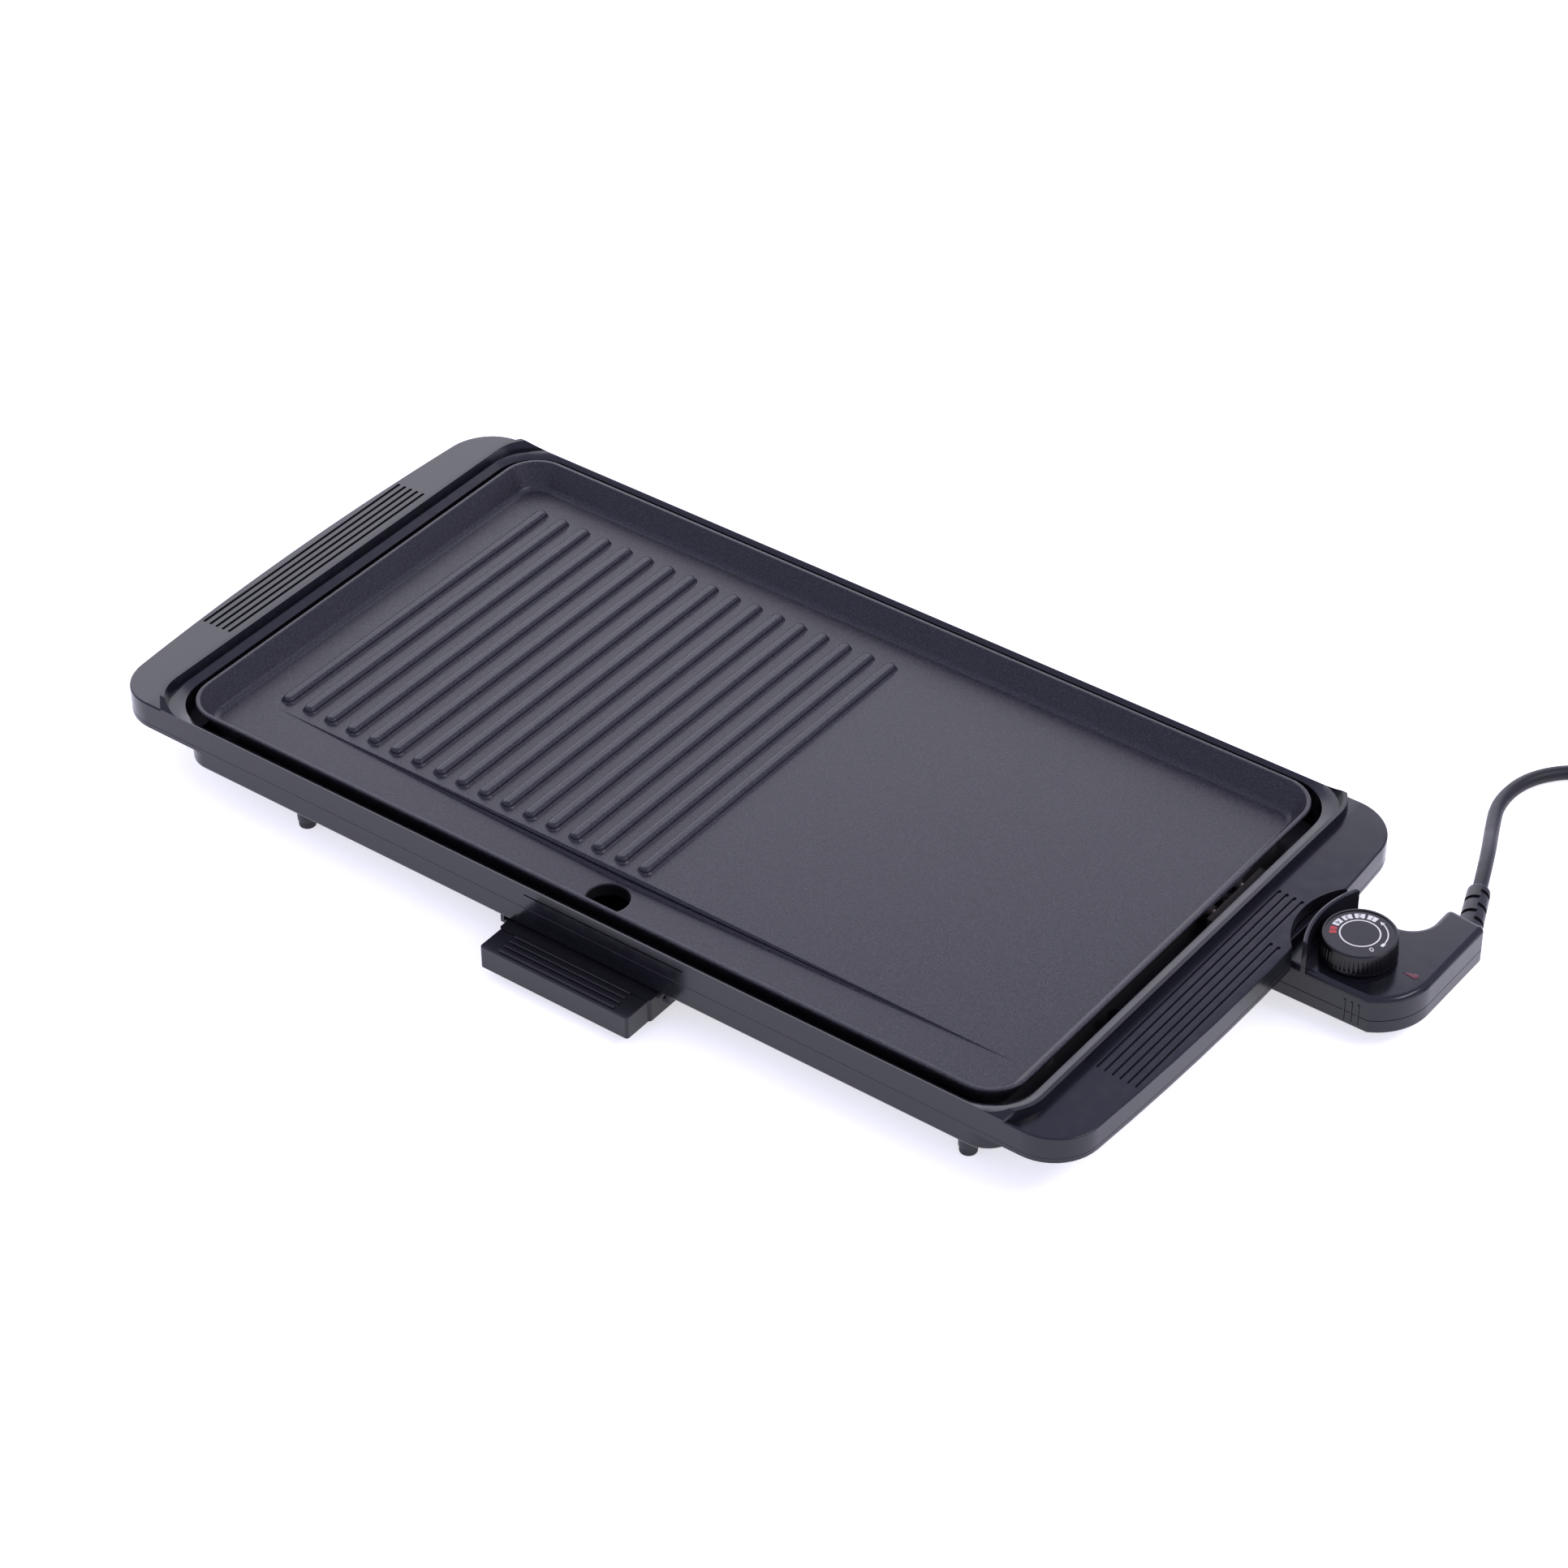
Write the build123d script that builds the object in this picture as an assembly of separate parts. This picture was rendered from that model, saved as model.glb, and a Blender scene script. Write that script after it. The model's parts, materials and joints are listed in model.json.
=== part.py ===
"""Electric griddle: a cast cooking plate in a plastic housing, with a plug-in thermostat controller and a drip tray.

Millimetres. +X runs towards the controller, +Y to the back, +Z up. The origin is on the table under the plate's
centre. Every sub-part is its own function and its own STEP file.
"""
import os
from math import atan, atan2, cos, degrees, hypot, pi, radians, sin, sqrt, tan

from build123d import *

# ---------------------------------------------------------------- driving dimensions
# cooking plate
plate_length = 486.0        # rim, along X
plate_width = 270.0         # rim, along Y
plate_corner = 20.0         # rim corner radius
plate_half_x = plate_length / 2     # the right-hand pieces are placed from the plate's end
plate_half_y = plate_width / 2
plate_depth = 12.5          # rim top down to the cooking floor
rim_height = plate_depth + 34.5     # rim top above the table
rim_thickness = 2.1
rim_band = 1.6              # upright band round the rim before the wall tapers in
wall_inset = 7.0            # how far the wall's foot stands in from the rim's inner edge
plate_floor = 3.5           # casting thickness under the cooking floor
rib_pitch = 13.875
rib_width = 7.0
rib_height = 2.7
rib_round = 2.1             # rounding of each rib's top
rib_flare = 0.9             # soft foot round each rib
channel_soften = 1.4        # width of the soft edge at the channel's step, at the drain hole
first_rib_x = -plate_half_x + 30.5
last_rib_x = 9.5            # the ribs cover the left half up to here
rib_count = int((last_rib_x - first_rib_x) / rib_pitch) + 1
rib_back_y = plate_half_y - 26.0
rib_front_y = -plate_half_y + 42.0
channel_back_y = -plate_half_y + 37.0     # step down into the grease channel
channel_fall = 4.5          # depth of the channel at the drain hole
channel_left_x = -plate_half_x + 29.0
channel_right_x = plate_half_x - 18.0
drain_x = 4.5
drain_radius = 10.5
spout_wall = 2.5
spout_drop = 3.0

# housing
plate_gap = 4.5             # from the plate's rim out to the lip round it, front and back
end_gap = 5.3               # the same at the two ends
lip_drop = 2.1              # lip below the rim
lip_width = 2.9             # lip along the front and the back
lip_fall = 1.2              # how much the lip slopes down towards the plate
lip_edge = 0.5              # flat strip left along the lip's outer edge
housing_wall = 2.5
handle_reach = plate_half_x + 44.0 # middle of each handle's outer edge, from the centre
handle_bow = 6.0            # how much the outer edge curves back towards its corners
handle_corner = 25.0
handle_drop = 2.8           # handle top below the rim, beside the ridge
handle_slope = 1.4          # further fall to the handle's outer edge
skirt_depth = plate_depth + 5.0     # handle skirt's lower edge below the rim
ridge_gap = 5.0             # from the lip's inner edge out to the ridge's foot
ridge_rise = 2.5            # ridge top above the rim
ridge_foot = 4.6            # ridge width at its foot
ridge_corner = 24.0
ridge_overrun = 5.0         # how far the ridge's corners are carried past the front and back walls
ridge_end_slope = 4.0       # length of the slope at each end of the ridge
groove_count = 6
groove_pitch = 4.1
groove_width = 1.7
groove_depth = 0.9
groove_offset = 18.4        # first groove from the plate's rim
body_left_x = -plate_half_x + 5.5  # lower body's two ends
body_right_x = plate_half_x + 2.5
body_corner = 15.5
body_height = 20.2          # underside above the table
shelf_thickness = 2.5

# feet and base
panel_thickness = 2.2
fit_gap = 0.3               # clearance of a piece that drops into another
ledge_width = 2.0           # ledge inside the wall that the base panel seats against
ledge_height = 1.6
foot_radius = 4.3
foot_left_x = -plate_half_x + 72.0
foot_right_x = plate_half_x - 23.0
foot_y = plate_half_y - 8.5
pad_height = 4.0
screw_radius = 1.6
screw_head_radius = 3.1

# heating element and terminals
element_radius = 3.25
element_embed = 1.0         # how deep the tube sits in the plate's underside
element_back_y = plate_half_y - 43.0
element_front_y = -plate_half_y + 60.0
element_half_length = plate_half_x - 38.0
pin_radius = 2.0
pin_spread = 12.0           # each pin from the probe's axis
probe_radius = 3.0
probe_clearance = 0.3
probe_reach = 60.0          # probe beyond the nose tip

# controller
socket_y = plate_half_y - 75.0      # the controller's own centre line
cutout_x = plate_half_x + 71.5            # centre and radius of the round cut-out in the right handle
cutout_radius = 38.5
cutout_wall_z = 36.8        # lower edge of the wall round the cut-out
skirt_clearance = 2.2       # skirt's notch, each side of the controller
control_half_width = 24.4
control_top = 31.0          # flat top above the table
control_bottom = 10.7
control_seam = 18.5
control_wall = 2.0
seam_groove = 0.4           # width and depth of the groove round the seam
arm_end_round = 3.0         # corners at the arm's end
control_edge = 3.0          # rounding of the top's outer edge
control_round_x = plate_half_x + 70.6     # the curved corner's centre and radius
control_round = control_half_width + 5.7
arm_inner_x = plate_half_x + 80.0
arm_end_y = socket_y + 52.0
arm_inner_round = 14.0
head_back_y = socket_y + control_half_width + 3.6
fin_radius = 53.0
fin_x = plate_half_x + 94.7
fin_thickness = 2.2
fin_top = 47.0
dial_x = plate_half_x + 63.5
dial_radius = 18.3          # knob at its widest
dial_face_radius = 17.7     # knob at the top
dial_base_radius = 17.6     # the ring under the knob
dial_rim = 1.5              # raised rim round the face
dial_top = 43.7
dial_gap = 0.5
dial_ridges = 54
shaft_radius = 3.0
guard_length = 12.5
guard_height = 11.0
guard_half_width = 19.5
guard_wall = 0.8
nose_gap = 0.5              # nose tip inside the guard

# drip tray
tray_left_x = -30.5
tray_right_x = 56.5
tray_front_y = -plate_half_y - 29.2
tray_back_y = -plate_half_y + 79.0
tray_gap = 1.0              # under the housing
tray_height = 12.5
tray_wall = 1.8
tray_flange = 3.0
rail_gap = 0.5
tray_ridge_width = 1.6
tray_ridge_height = 1.3

# mains cord
cord_radius = 3.6
coil_radius = 37.0          # middle of the turns
coil_turns_wide = 3
coil_layers = 2
coil_x = plate_half_x + 141.0
coil_y = socket_y + 176.55
relief_length = 35.5
relief_base_radius = 6.1
relief_tip_radius = 5.6
relief_exit = 6.0           # how far the shells' hole for the relief runs, each way from the arm's end face
relief_core = 3.8           # how close the slots come to the relief's axis
relief_slot = 2.4           # slot width
relief_turn = 30.0          # how far the slots are turned from upright

# ---------------------------------------------------------------- worked-out places
cook_z = rim_height - plate_depth
plate_under_z = cook_z - plate_floor
wall_angle = degrees(atan(wall_inset / plate_depth))
outer_angle = degrees(atan(wall_inset / (plate_depth - rim_band)))
lip_z = rim_height - lip_drop
well_half_x = plate_half_x + end_gap
well_half_y = plate_half_y + plate_gap
well_corner = plate_corner + plate_gap
wall_y = well_half_y + lip_width
skirt_z = rim_height - skirt_depth
ridge_z = rim_height + ridge_rise
ridge_half_x = well_half_x + ridge_gap + ridge_foot
ridge_half_y = wall_y + ridge_overrun
handle_z = rim_height - handle_drop
handle_edge_z = handle_z - handle_slope
shelf_top_z = skirt_z + shelf_thickness
panel_top_z = body_height + panel_thickness
pin_z = plate_under_z + element_embed - element_radius
body_mid_x = (body_left_x + body_right_x) / 2
body_length = body_right_x - body_left_x
drain_z = cook_z - channel_fall
drain_y = (channel_back_y - (plate_half_y - rim_thickness - wall_inset)) / 2
spout_z = drain_z - plate_floor - spout_drop
post_places = [(x, y) for x in (foot_left_x, foot_right_x) for y in (-foot_y, foot_y)]
spacer_places = [(-plate_half_x + 19.0, -plate_half_y + 57.0), (-plate_half_x + 19.0, plate_half_y - 57.0),
                 (plate_half_x - 17.0, -plate_half_y + 57.0), (plate_half_x - 17.0, plate_half_y - 25.0)]
boss_radius = 3.6
boss_y = wall_y - housing_wall - boss_radius + 0.4
boss_x = plate_half_x - 133.0
boss_places = [(-boss_x, -boss_y), (boss_x, -boss_y), (-boss_x, boss_y), (boss_x, boss_y),
               (body_left_x + housing_wall + boss_radius - 0.4, 0.0),
               (body_right_x - housing_wall - boss_radius + 0.4, -40.0)]
reflector_left_x = -plate_half_x + 29.0
reflector_right_x = plate_half_x - 71.0
reflector_front_y = -plate_half_y + 45.0
reflector_back_y = plate_half_y - 9.0
reflector_places = [(reflector_left_x + 24.0, reflector_front_y + 30.0),
                    (reflector_left_x + 24.0, reflector_back_y - 46.0),
                    (0.0, reflector_back_y - 31.0), (20.0, reflector_front_y + 30.0),
                    (reflector_right_x - 22.0, reflector_back_y - 36.0)]
rail_front_y = -wall_y + 1.5
slot_left_x = -20.7
slot_right_x = 71.9
slot_z = rim_height - 7.4
head_back_x = plate_half_x + 49.0
nose_half_width = guard_half_width + 1.0
nose_bottom_z = pin_z - 8.0
nose_top_z = pin_z + guard_height / 2
sleeve_radius = 3.1
grip_places = [plate_half_x + 71.6, plate_half_x + 75.4, plate_half_x + 79.0]
lens_x = plate_half_x + 92.6
lens_y = socket_y + 1.6
lens_length = 6.0
shell_screw_places = [(plate_half_x + 53.0, socket_y - 17.0), (plate_half_x + 91.0, socket_y - 2.0),
                      (plate_half_x + 93.0, socket_y + 32.0), (plate_half_x + 55.0, socket_y + 19.0)]
relief_x = plate_half_x + 91.6
relief_lean = -0.39
block_x = body_right_x - housing_wall           # inner face of the right end wall
guard_end_x = block_x + guard_length + housing_wall
nose_tip_x = block_x + 3.5
nose_back_x = guard_end_x + 20.0
nose_face_x = guard_end_x + 0.8
tray_top = body_height - tray_gap
tray_bottom = tray_top - tray_height
coil_outer = coil_radius + cord_radius * coil_turns_wide + 0.2
coil_inner = coil_radius - cord_radius * coil_turns_wide - 0.2
coil_height = 2 * cord_radius * coil_layers


def save(shape, name, colour):
    """Write one node as its own STEP file."""
    shape.label = name
    shape.color = Color(*colour)
    export_step(shape, f"parts/{name}.step")


def block(x0, x1, y0, y1, z0, z1):
    """A box between two corners."""
    return Pos((x0 + x1) / 2, (y0 + y1) / 2, (z0 + z1) / 2) * Box(x1 - x0, y1 - y0, z1 - z0)


def rod(radius, start, end):
    """A round bar between two points."""
    line = Vector(*end) - Vector(*start)
    return Plane(origin=start, z_dir=line) * Cylinder(radius, line.length, align=(Align.CENTER, Align.CENTER, Align.MIN))


def upright(radius, x, y, z0, z1):
    """A vertical round bar."""
    return rod(radius, (x, y, z0), (x, y, z1))


def slab(half_x, half_y, corner, z0, z1, taper=0.0, centre_x=0.0):
    """A rounded rectangle extruded upwards, or downwards when z1 is below z0."""
    profile = Pos(centre_x, 0, z0) * RectangleRounded(2 * half_x, 2 * half_y, corner)
    return extrude(profile, amount=abs(z1 - z0), dir=(0, 0, 1 if z1 > z0 else -1), taper=taper)


def prism_y(points, y0, y1):
    """A polygon of (x, z) points extruded from y0 to y1."""
    wire = Polyline(*[(x, y0, z) for x, z in points], close=True)
    return extrude(make_face(wire), amount=y1 - y0, dir=(0, 1, 0))


def edges_at(shape, z, tolerance=0.01):
    """The edges that lie wholly at one height."""
    return [e for e in shape.edges() if abs(e.bounding_box().min.Z - z) < tolerance
            and abs(e.bounding_box().max.Z - z) < tolerance]


# ---------------------------------------------------------------- cooking plate
def cooking_plate():
    band_z = rim_height - rim_band
    casting = slab(plate_half_x, plate_half_y, plate_corner, rim_height, band_z)
    casting = casting + slab(plate_half_x, plate_half_y, plate_corner, band_z, plate_under_z, taper=outer_angle)
    inner_corner = plate_corner - rim_thickness
    pan = slab(plate_half_x - rim_thickness, plate_half_y - rim_thickness, inner_corner,
               rim_height, cook_z, taper=wall_angle)
    casting = casting - pan
    casting = fillet(edges_at(casting, cook_z), 4.0)
    casting = fillet(edges_at(casting, rim_height), 0.7)

    # the channel's own trough under the casting, with the drain spout
    front_foot = plate_half_y - rim_thickness - wall_inset
    low = drain_z - plate_floor
    spread = drain_radius + spout_wall
    trough = [(channel_left_x, plate_under_z + 0.5), (drain_x - spread, low), (drain_x + spread, low),
              (channel_right_x, plate_under_z + 0.5)]
    casting = casting + prism_y(trough, -front_foot, channel_back_y + plate_floor)
    casting = casting + upright(spread, drain_x, drain_y, spout_z, cook_z - channel_fall - 0.5)
    channel = [(channel_left_x, cook_z), (drain_x, drain_z), (channel_right_x, cook_z),
               (channel_right_x, cook_z + 1.0), (channel_left_x, cook_z + 1.0)]
    casting = casting - prism_y(channel, -front_foot + 1.5, channel_back_y)
    for wedge_end in (channel_left_x, channel_right_x):
        casting = casting - channel_wedge(wedge_end, cook_z, 1)
        casting = casting + channel_wedge(wedge_end, drain_z, -1)
    casting = casting - upright(drain_radius, drain_x, drain_y, spout_z - 1, cook_z)
    hole_edge = [e for e in casting.edges() if e.geom_type == GeomType.ELLIPSE and e.center().Z > drain_z - 1
                 and hypot(e.center().X - drain_x, e.center().Y - drain_y) < drain_radius + 0.1]
    casting = fillet(hole_edge, 0.8)

    # ribs over the left half
    length = rib_back_y - rib_front_y
    rib = extrude(Plane.XY * Rot(0, 0, 90) * SlotOverall(length, rib_width), amount=rib_height + 0.3, taper=14)
    rib = fillet(edges_at(rib, rib_height + 0.3), rib_round)
    foot = Plane.XY * Rot(0, 0, 90) * SlotOverall(length + 2 * rib_flare, rib_width + 2 * rib_flare)
    rib = rib + extrude(foot, amount=0.3 + rib_flare * 0.8, taper=48)
    for i in range(rib_count):
        place = (first_rib_x + i * rib_pitch, (rib_back_y + rib_front_y) / 2, cook_z - 0.3)
        casting = casting + Pos(*place) * rib

    # under the plate: the probe's well, the stud bosses and the groove that holds the element
    well = rod(probe_radius + probe_clearance + 1.6, (probe_tip_x() - 6, socket_y, pin_z),
               (plate_half_x - 12, socket_y, pin_z))
    casting = casting + well - rod(probe_radius + probe_clearance, (probe_tip_x() - 3, socket_y, pin_z),
                                   (plate_half_x, socket_y, pin_z))
    casting = casting - element_tube(element_radius + 0.05)
    for x, y in spacer_places:
        casting = casting - upright(pin_radius + 0.05, x, y, plate_under_z - 1, plate_under_z + 2)
    return casting


def channel_wedge(far_x, z, side):
    """A long thin wedge that softens the channel's step. It is widest at the drain and runs out at far_x."""
    corner = (drain_x, channel_back_y, z)
    level = (drain_x, channel_back_y + side * channel_soften, z)
    upright_end = (drain_x, channel_back_y, z - side * channel_soften)
    section = make_face(Polyline(corner, level, upright_end, close=True))
    return loft([section, Vertex(far_x, channel_back_y, cook_z)])


def probe_tip_x():
    """Where the temperature probe ends."""
    return nose_tip_x - probe_reach


def element_tube(radius):
    """The tubular element: once round under the plate, both ends brought to the socket."""
    root_x = block_x - 6.5
    left, right = -element_half_length, element_half_length
    upper, lower = socket_y + pin_spread, socket_y - pin_spread
    route = FilletPolyline(
        (root_x, upper, pin_z), (right + 8, upper, pin_z), (right + 8, element_back_y, pin_z),
        (left, element_back_y, pin_z), (left, element_front_y, pin_z), (right, element_front_y, pin_z),
        (right, lower, pin_z), (root_x, lower, pin_z), radius=9.0)
    return sweep(Plane(origin=route @ 0, z_dir=route % 0) * Circle(radius), path=route)


# ---------------------------------------------------------------- housing
def bowed_outline(grow=0.0):
    """Plan of the housing: straight front and back, gently bowed ends, round corners."""
    half_y = wall_y + grow
    reach = handle_reach + grow
    side_x = reach - handle_bow
    points = [(-side_x, -half_y), (side_x, -half_y), (side_x, half_y), (-side_x, half_y)]
    bottom = Line(points[0], points[1])
    right = ThreePointArc(points[1], (reach, 0), points[2])
    top = Line(points[2], points[3])
    left = ThreePointArc(points[3], (-reach, 0), points[0])
    face = make_face([bottom, right, top, left])
    return fillet(face.vertices(), handle_corner + grow)


def ridge_band():
    """The raised ridge between plate and handles, sloping down to nothing at the front and back walls."""
    foot_z = handle_edge_z - 1
    outer = slab(ridge_half_x, ridge_half_y, ridge_corner, foot_z, ridge_z, taper=6)
    inner_corner = ridge_corner - ridge_foot
    inner = slab(well_half_x + ridge_gap, ridge_half_y - ridge_foot, inner_corner, lip_z, ridge_z + 1, taper=-20)
    band = outer - inner
    rise = ridge_z - lip_z
    top_y = wall_y - ridge_end_slope
    for side in (-1, 1):
        edge = [(side * wall_y, lip_z), (side * top_y, lip_z + rise), (side * top_y, ridge_z + 2),
                (side * (wall_y + 20), ridge_z + 2), (side * (wall_y + 20), lip_z)]
        wire = Polyline(*[(-handle_reach, y, z) for y, z in edge], close=True)
        band = band - extrude(make_face(wire), amount=2 * handle_reach, dir=(1, 0, 0))
    return band


def grooves():
    """The grip grooves on both handles. The right-hand ones stop short where the controller plugs in."""
    cuts = []
    for i in range(groove_count):
        x = plate_half_x + groove_offset + i * groove_pitch
        fall = handle_slope * (x - ridge_half_x) / (handle_reach - ridge_half_x)
        z = handle_z - fall - groove_depth
        right_end = socket_y + 4.0 if i < groove_count - 2 else socket_y - 29.5
        for side, y0, y1 in ((-1, -plate_half_y + 60.5, plate_half_y - 59.5), (1, -plate_half_y + 46.5, right_end)):
            slot = Pos(side * x, (y0 + y1) / 2, z) * Rot(0, 0, 90) * SlotOverall(y1 - y0, groove_width)
            cuts.append(extrude(slot, amount=5, dir=(0, 0, 1)))
    return cuts


def housing():
    outline = bowed_outline()
    # the whole plan at handle height, its top falling gently outwards at both ends
    base = extrude(Pos(0, 0, skirt_z) * outline, amount=handle_z - skirt_z)
    for side in (-1, 1):
        out = side * (handle_reach + 5)
        out_z = handle_z - handle_slope * (handle_reach + 5 - ridge_half_x) / (handle_reach - ridge_half_x)
        base = base - prism_y([(side * ridge_half_x, handle_z), (out, out_z), (out, handle_z + 5),
                               (side * ridge_half_x, handle_z + 5)], -wall_y - 5, wall_y + 5)
    base = fillet([e for e in base.edges() if e.center().Z > handle_edge_z - 0.8
                   and not on_ridge_line(e)], 0.9)
    # the lip inside the ridge stands a little higher
    lip = block(-handle_reach, handle_reach, -wall_y, wall_y, skirt_z, lip_z)
    lip = fillet([e for e in edges_at(lip, lip_z) if e.length > 300], 0.9)
    lip = lip & slab(ridge_half_x - 1.0, ridge_half_y - 1.0, ridge_corner - 1.0, skirt_z, lip_z)
    ridge = ridge_band() & extrude(Pos(0, 0, skirt_z) * outline, amount=60)
    body = base + lip + ridge
    lower = slab(body_length / 2, wall_y, body_corner, body_height, skirt_z, centre_x=body_mid_x)
    lower = fillet(edges_at(lower, body_height), 1.6)
    body = body + lower

    # the well round the plate, the open underside and the hollow handles
    body = body - slab(well_half_x, well_half_y, well_corner, shelf_top_z, ridge_z + 5) - lip_slope()
    inner_y = wall_y - housing_wall
    cavity = slab(body_length / 2 - housing_wall, inner_y, body_corner - housing_wall, body_height - 1,
                  shelf_top_z, centre_x=body_mid_x)
    body = body - cavity + panel_ledge()
    hollow = extrude(Pos(0, 0, skirt_z - 1) * bowed_outline(-housing_wall),
                     amount=handle_edge_z - housing_wall - skirt_z + 1)
    keep = slab(well_half_x + housing_wall, wall_y + 5, well_corner, skirt_z - 2, lip_z)
    body = body - (hollow - keep)
    for x, y in boss_places:
        body = body + upright(boss_radius, x, y, panel_top_z, plate_under_z - 1)
        body = body - upright(screw_radius, x, y, panel_top_z, skirt_z)

    # the round cut-out for the controller, with a wall round its edge
    ring = upright(cutout_radius + 2.0, cutout_x, socket_y, cutout_wall_z, handle_edge_z - 1)
    ring = ring & extrude(Pos(0, 0, skirt_z) * bowed_outline(-0.6), amount=30)
    body = body + ring - upright(cutout_radius, cutout_x, socket_y, skirt_z - 1, lip_z + 1)
    body = body - block(handle_reach - 14, handle_reach + 2, socket_y - control_half_width - skirt_clearance,
                        socket_y + control_half_width + skirt_clearance, skirt_z - 1, cutout_wall_z)
    # the way through the end wall for the pins and the probe
    half_way = guard_half_width + 0.4
    body = body - block(block_x - 1, well_half_x + housing_wall + 1, socket_y - half_way, socket_y + half_way,
                        pin_z - guard_height / 2 - 0.4, pin_z + guard_height / 2 + 0.4)
    for cut in grooves():
        body = body - cut
    # the thin slot in the front wall
    body = body - block(slot_left_x, slot_right_x, -wall_y - 1, -wall_y + 1.2, slot_z, slot_z + 0.8)
    return body


def lip_slope():
    """The space over the lip's slope, a little larger at the top than the well."""
    low = Pos(0, 0, lip_z - lip_fall) * RectangleRounded(2 * well_half_x, 2 * well_half_y, well_corner)
    half_x = well_half_x + ridge_gap - lip_edge
    half_y = wall_y - lip_edge - 0.4
    high = Pos(0, 0, lip_z) * RectangleRounded(2 * half_x, 2 * half_y, well_corner + lip_width - lip_edge)
    return loft([low, high])


def panel_ledge():
    """The ledge that runs round inside the wall just above the base panel, open where the terminal block stands."""
    half_x = body_length / 2 - housing_wall
    half_y = wall_y - housing_wall
    corner = body_corner - housing_wall
    low, high = panel_top_z + fit_gap / 2, panel_top_z + ledge_height
    ledge = slab(half_x + 0.2, half_y + 0.2, corner + 0.2, low, high, centre_x=body_mid_x)
    ledge = ledge - slab(half_x - ledge_width, half_y - ledge_width, corner - ledge_width, low - 1, high + 1,
                         centre_x=body_mid_x)
    return ledge - block(block_x - 6, block_x + 1, socket_y - guard_half_width - 4.0,
                         socket_y + guard_half_width + 4.0, low - 1, high + 1)


def on_ridge_line(edge):
    """True for the crease where a handle's slope starts, which the ridge covers."""
    return abs(abs(edge.center().X) - ridge_half_x) < 0.01 and abs(edge.center().Y) < 1


# ---------------------------------------------------------------- base, feet and fasteners
def base_panel():
    panel = slab(body_length / 2 - housing_wall - fit_gap, wall_y - housing_wall - fit_gap,
                 body_corner - housing_wall - fit_gap, body_height, panel_top_z, centre_x=body_mid_x)
    for x, y in post_places:
        foot = Pos(x, y, body_height) * Cone(foot_radius + 0.4, foot_radius + 1.2, body_height - pad_height,
                                             align=(Align.CENTER, Align.CENTER, Align.MAX), rotation=(0, 0, 0))
        panel = panel + foot
        panel = panel - upright(foot_radius - 1.5, x, y, pad_height - 1, pad_height + 2.0)
    panel = panel - upright(drain_radius + spout_wall + 1.0, drain_x, drain_y, body_height - 1, panel_top_z + 1)
    for x, y in boss_places:
        panel = panel - upright(screw_radius + 0.2, x, y, body_height - 1, panel_top_z + 1)
        panel = panel - upright(screw_head_radius + 0.2, x, y, body_height - 1, body_height + 1.2)
    for x, y in spacer_places:
        panel = panel - upright(pin_radius + 0.2, x, y, body_height - 1, panel_top_z + 1)
    # vents under the heat reflector
    for i in range(9):
        x = -160.0 + i * 40.0
        panel = panel - block(x - 12, x + 12, 20.0, 24.0, body_height - 1, panel_top_z + 1)
        panel = panel - block(x - 12, x + 12, 60.0, 64.0, body_height - 1, panel_top_z + 1)
    for x, y in reflector_places:
        panel = panel + upright(4.0, x, y, panel_top_z, panel_top_z + 1.0)
    # two L-shaped rails that carry the drip tray by its flanges
    for side, flange_x in ((-1, tray_left_x - 1.0 - tray_flange), (1, tray_right_x + 1.0 + tray_flange)):
        web_in = flange_x + side * rail_gap
        web_out = web_in + side * 2.0
        lip_in = flange_x - side * (tray_flange - 1.2)
        under = tray_top - tray_wall - rail_gap
        rail = block(min(web_in, web_out), max(web_in, web_out), rail_front_y, tray_back_y - 1, under - 1.8,
                     body_height)
        rail = rail + block(min(lip_in, web_out), max(lip_in, web_out), rail_front_y, tray_back_y - 1,
                            under - 1.8, under)
        panel = panel + rail
    # the stop behind the tray
    return panel + block(tray_left_x, tray_right_x, tray_back_y + rail_gap, tray_back_y + rail_gap + 2.0,
                         tray_top - 6, body_height)


def rubber_feet():
    pads = []
    for x, y in post_places:
        pad = upright(foot_radius, x, y, 0, pad_height)
        pad = fillet(edges_at(pad, 0), 0.8)
        pads.append(pad + upright(foot_radius - 1.5 - 0.05, x, y, pad_height, pad_height + 1.9))
    return Compound(children=pads)


def pan_screw(x, y, head_z, tip_z, radius=screw_radius, head=screw_head_radius):
    """A cross-head screw with its head down."""
    screw = upright(head, x, y, head_z, head_z + 1.1) + upright(radius, x, y, head_z + 1.1, tip_z)
    cross = block(x - 1.6, x + 1.6, y - 0.35, y + 0.35, head_z - 0.1, head_z + 0.7)
    cross = cross + block(x - 0.35, x + 0.35, y - 1.6, y + 1.6, head_z - 0.1, head_z + 0.7)
    return screw - cross


def base_screws():
    return Compound(children=[pan_screw(x, y, body_height + 0.05, skirt_z - 0.5) for x, y in boss_places])


def plate_spacers():
    rings = []
    for x, y in spacer_places:
        rings.append(upright(5.0, x, y, panel_top_z, plate_under_z) - upright(pin_radius + 0.1, x, y, panel_top_z,
                                                                              plate_under_z))
    return Compound(children=rings)


def plate_studs():
    return Compound(children=[upright(pin_radius, x, y, body_height - 4.5, plate_under_z + 1.9)
                              for x, y in spacer_places])


def stud_nuts():
    nuts = []
    for x, y in spacer_places:
        nut = extrude(Pos(x, y, body_height - 3.4) * RegularPolygon(3.9, 6), amount=3.2, dir=(0, 0, 1))
        nuts.append(nut - upright(pin_radius + 0.02, x, y, body_height - 5, body_height))
    return Compound(children=nuts)


# ---------------------------------------------------------------- heating
def heating_element():
    return element_tube(element_radius)


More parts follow.
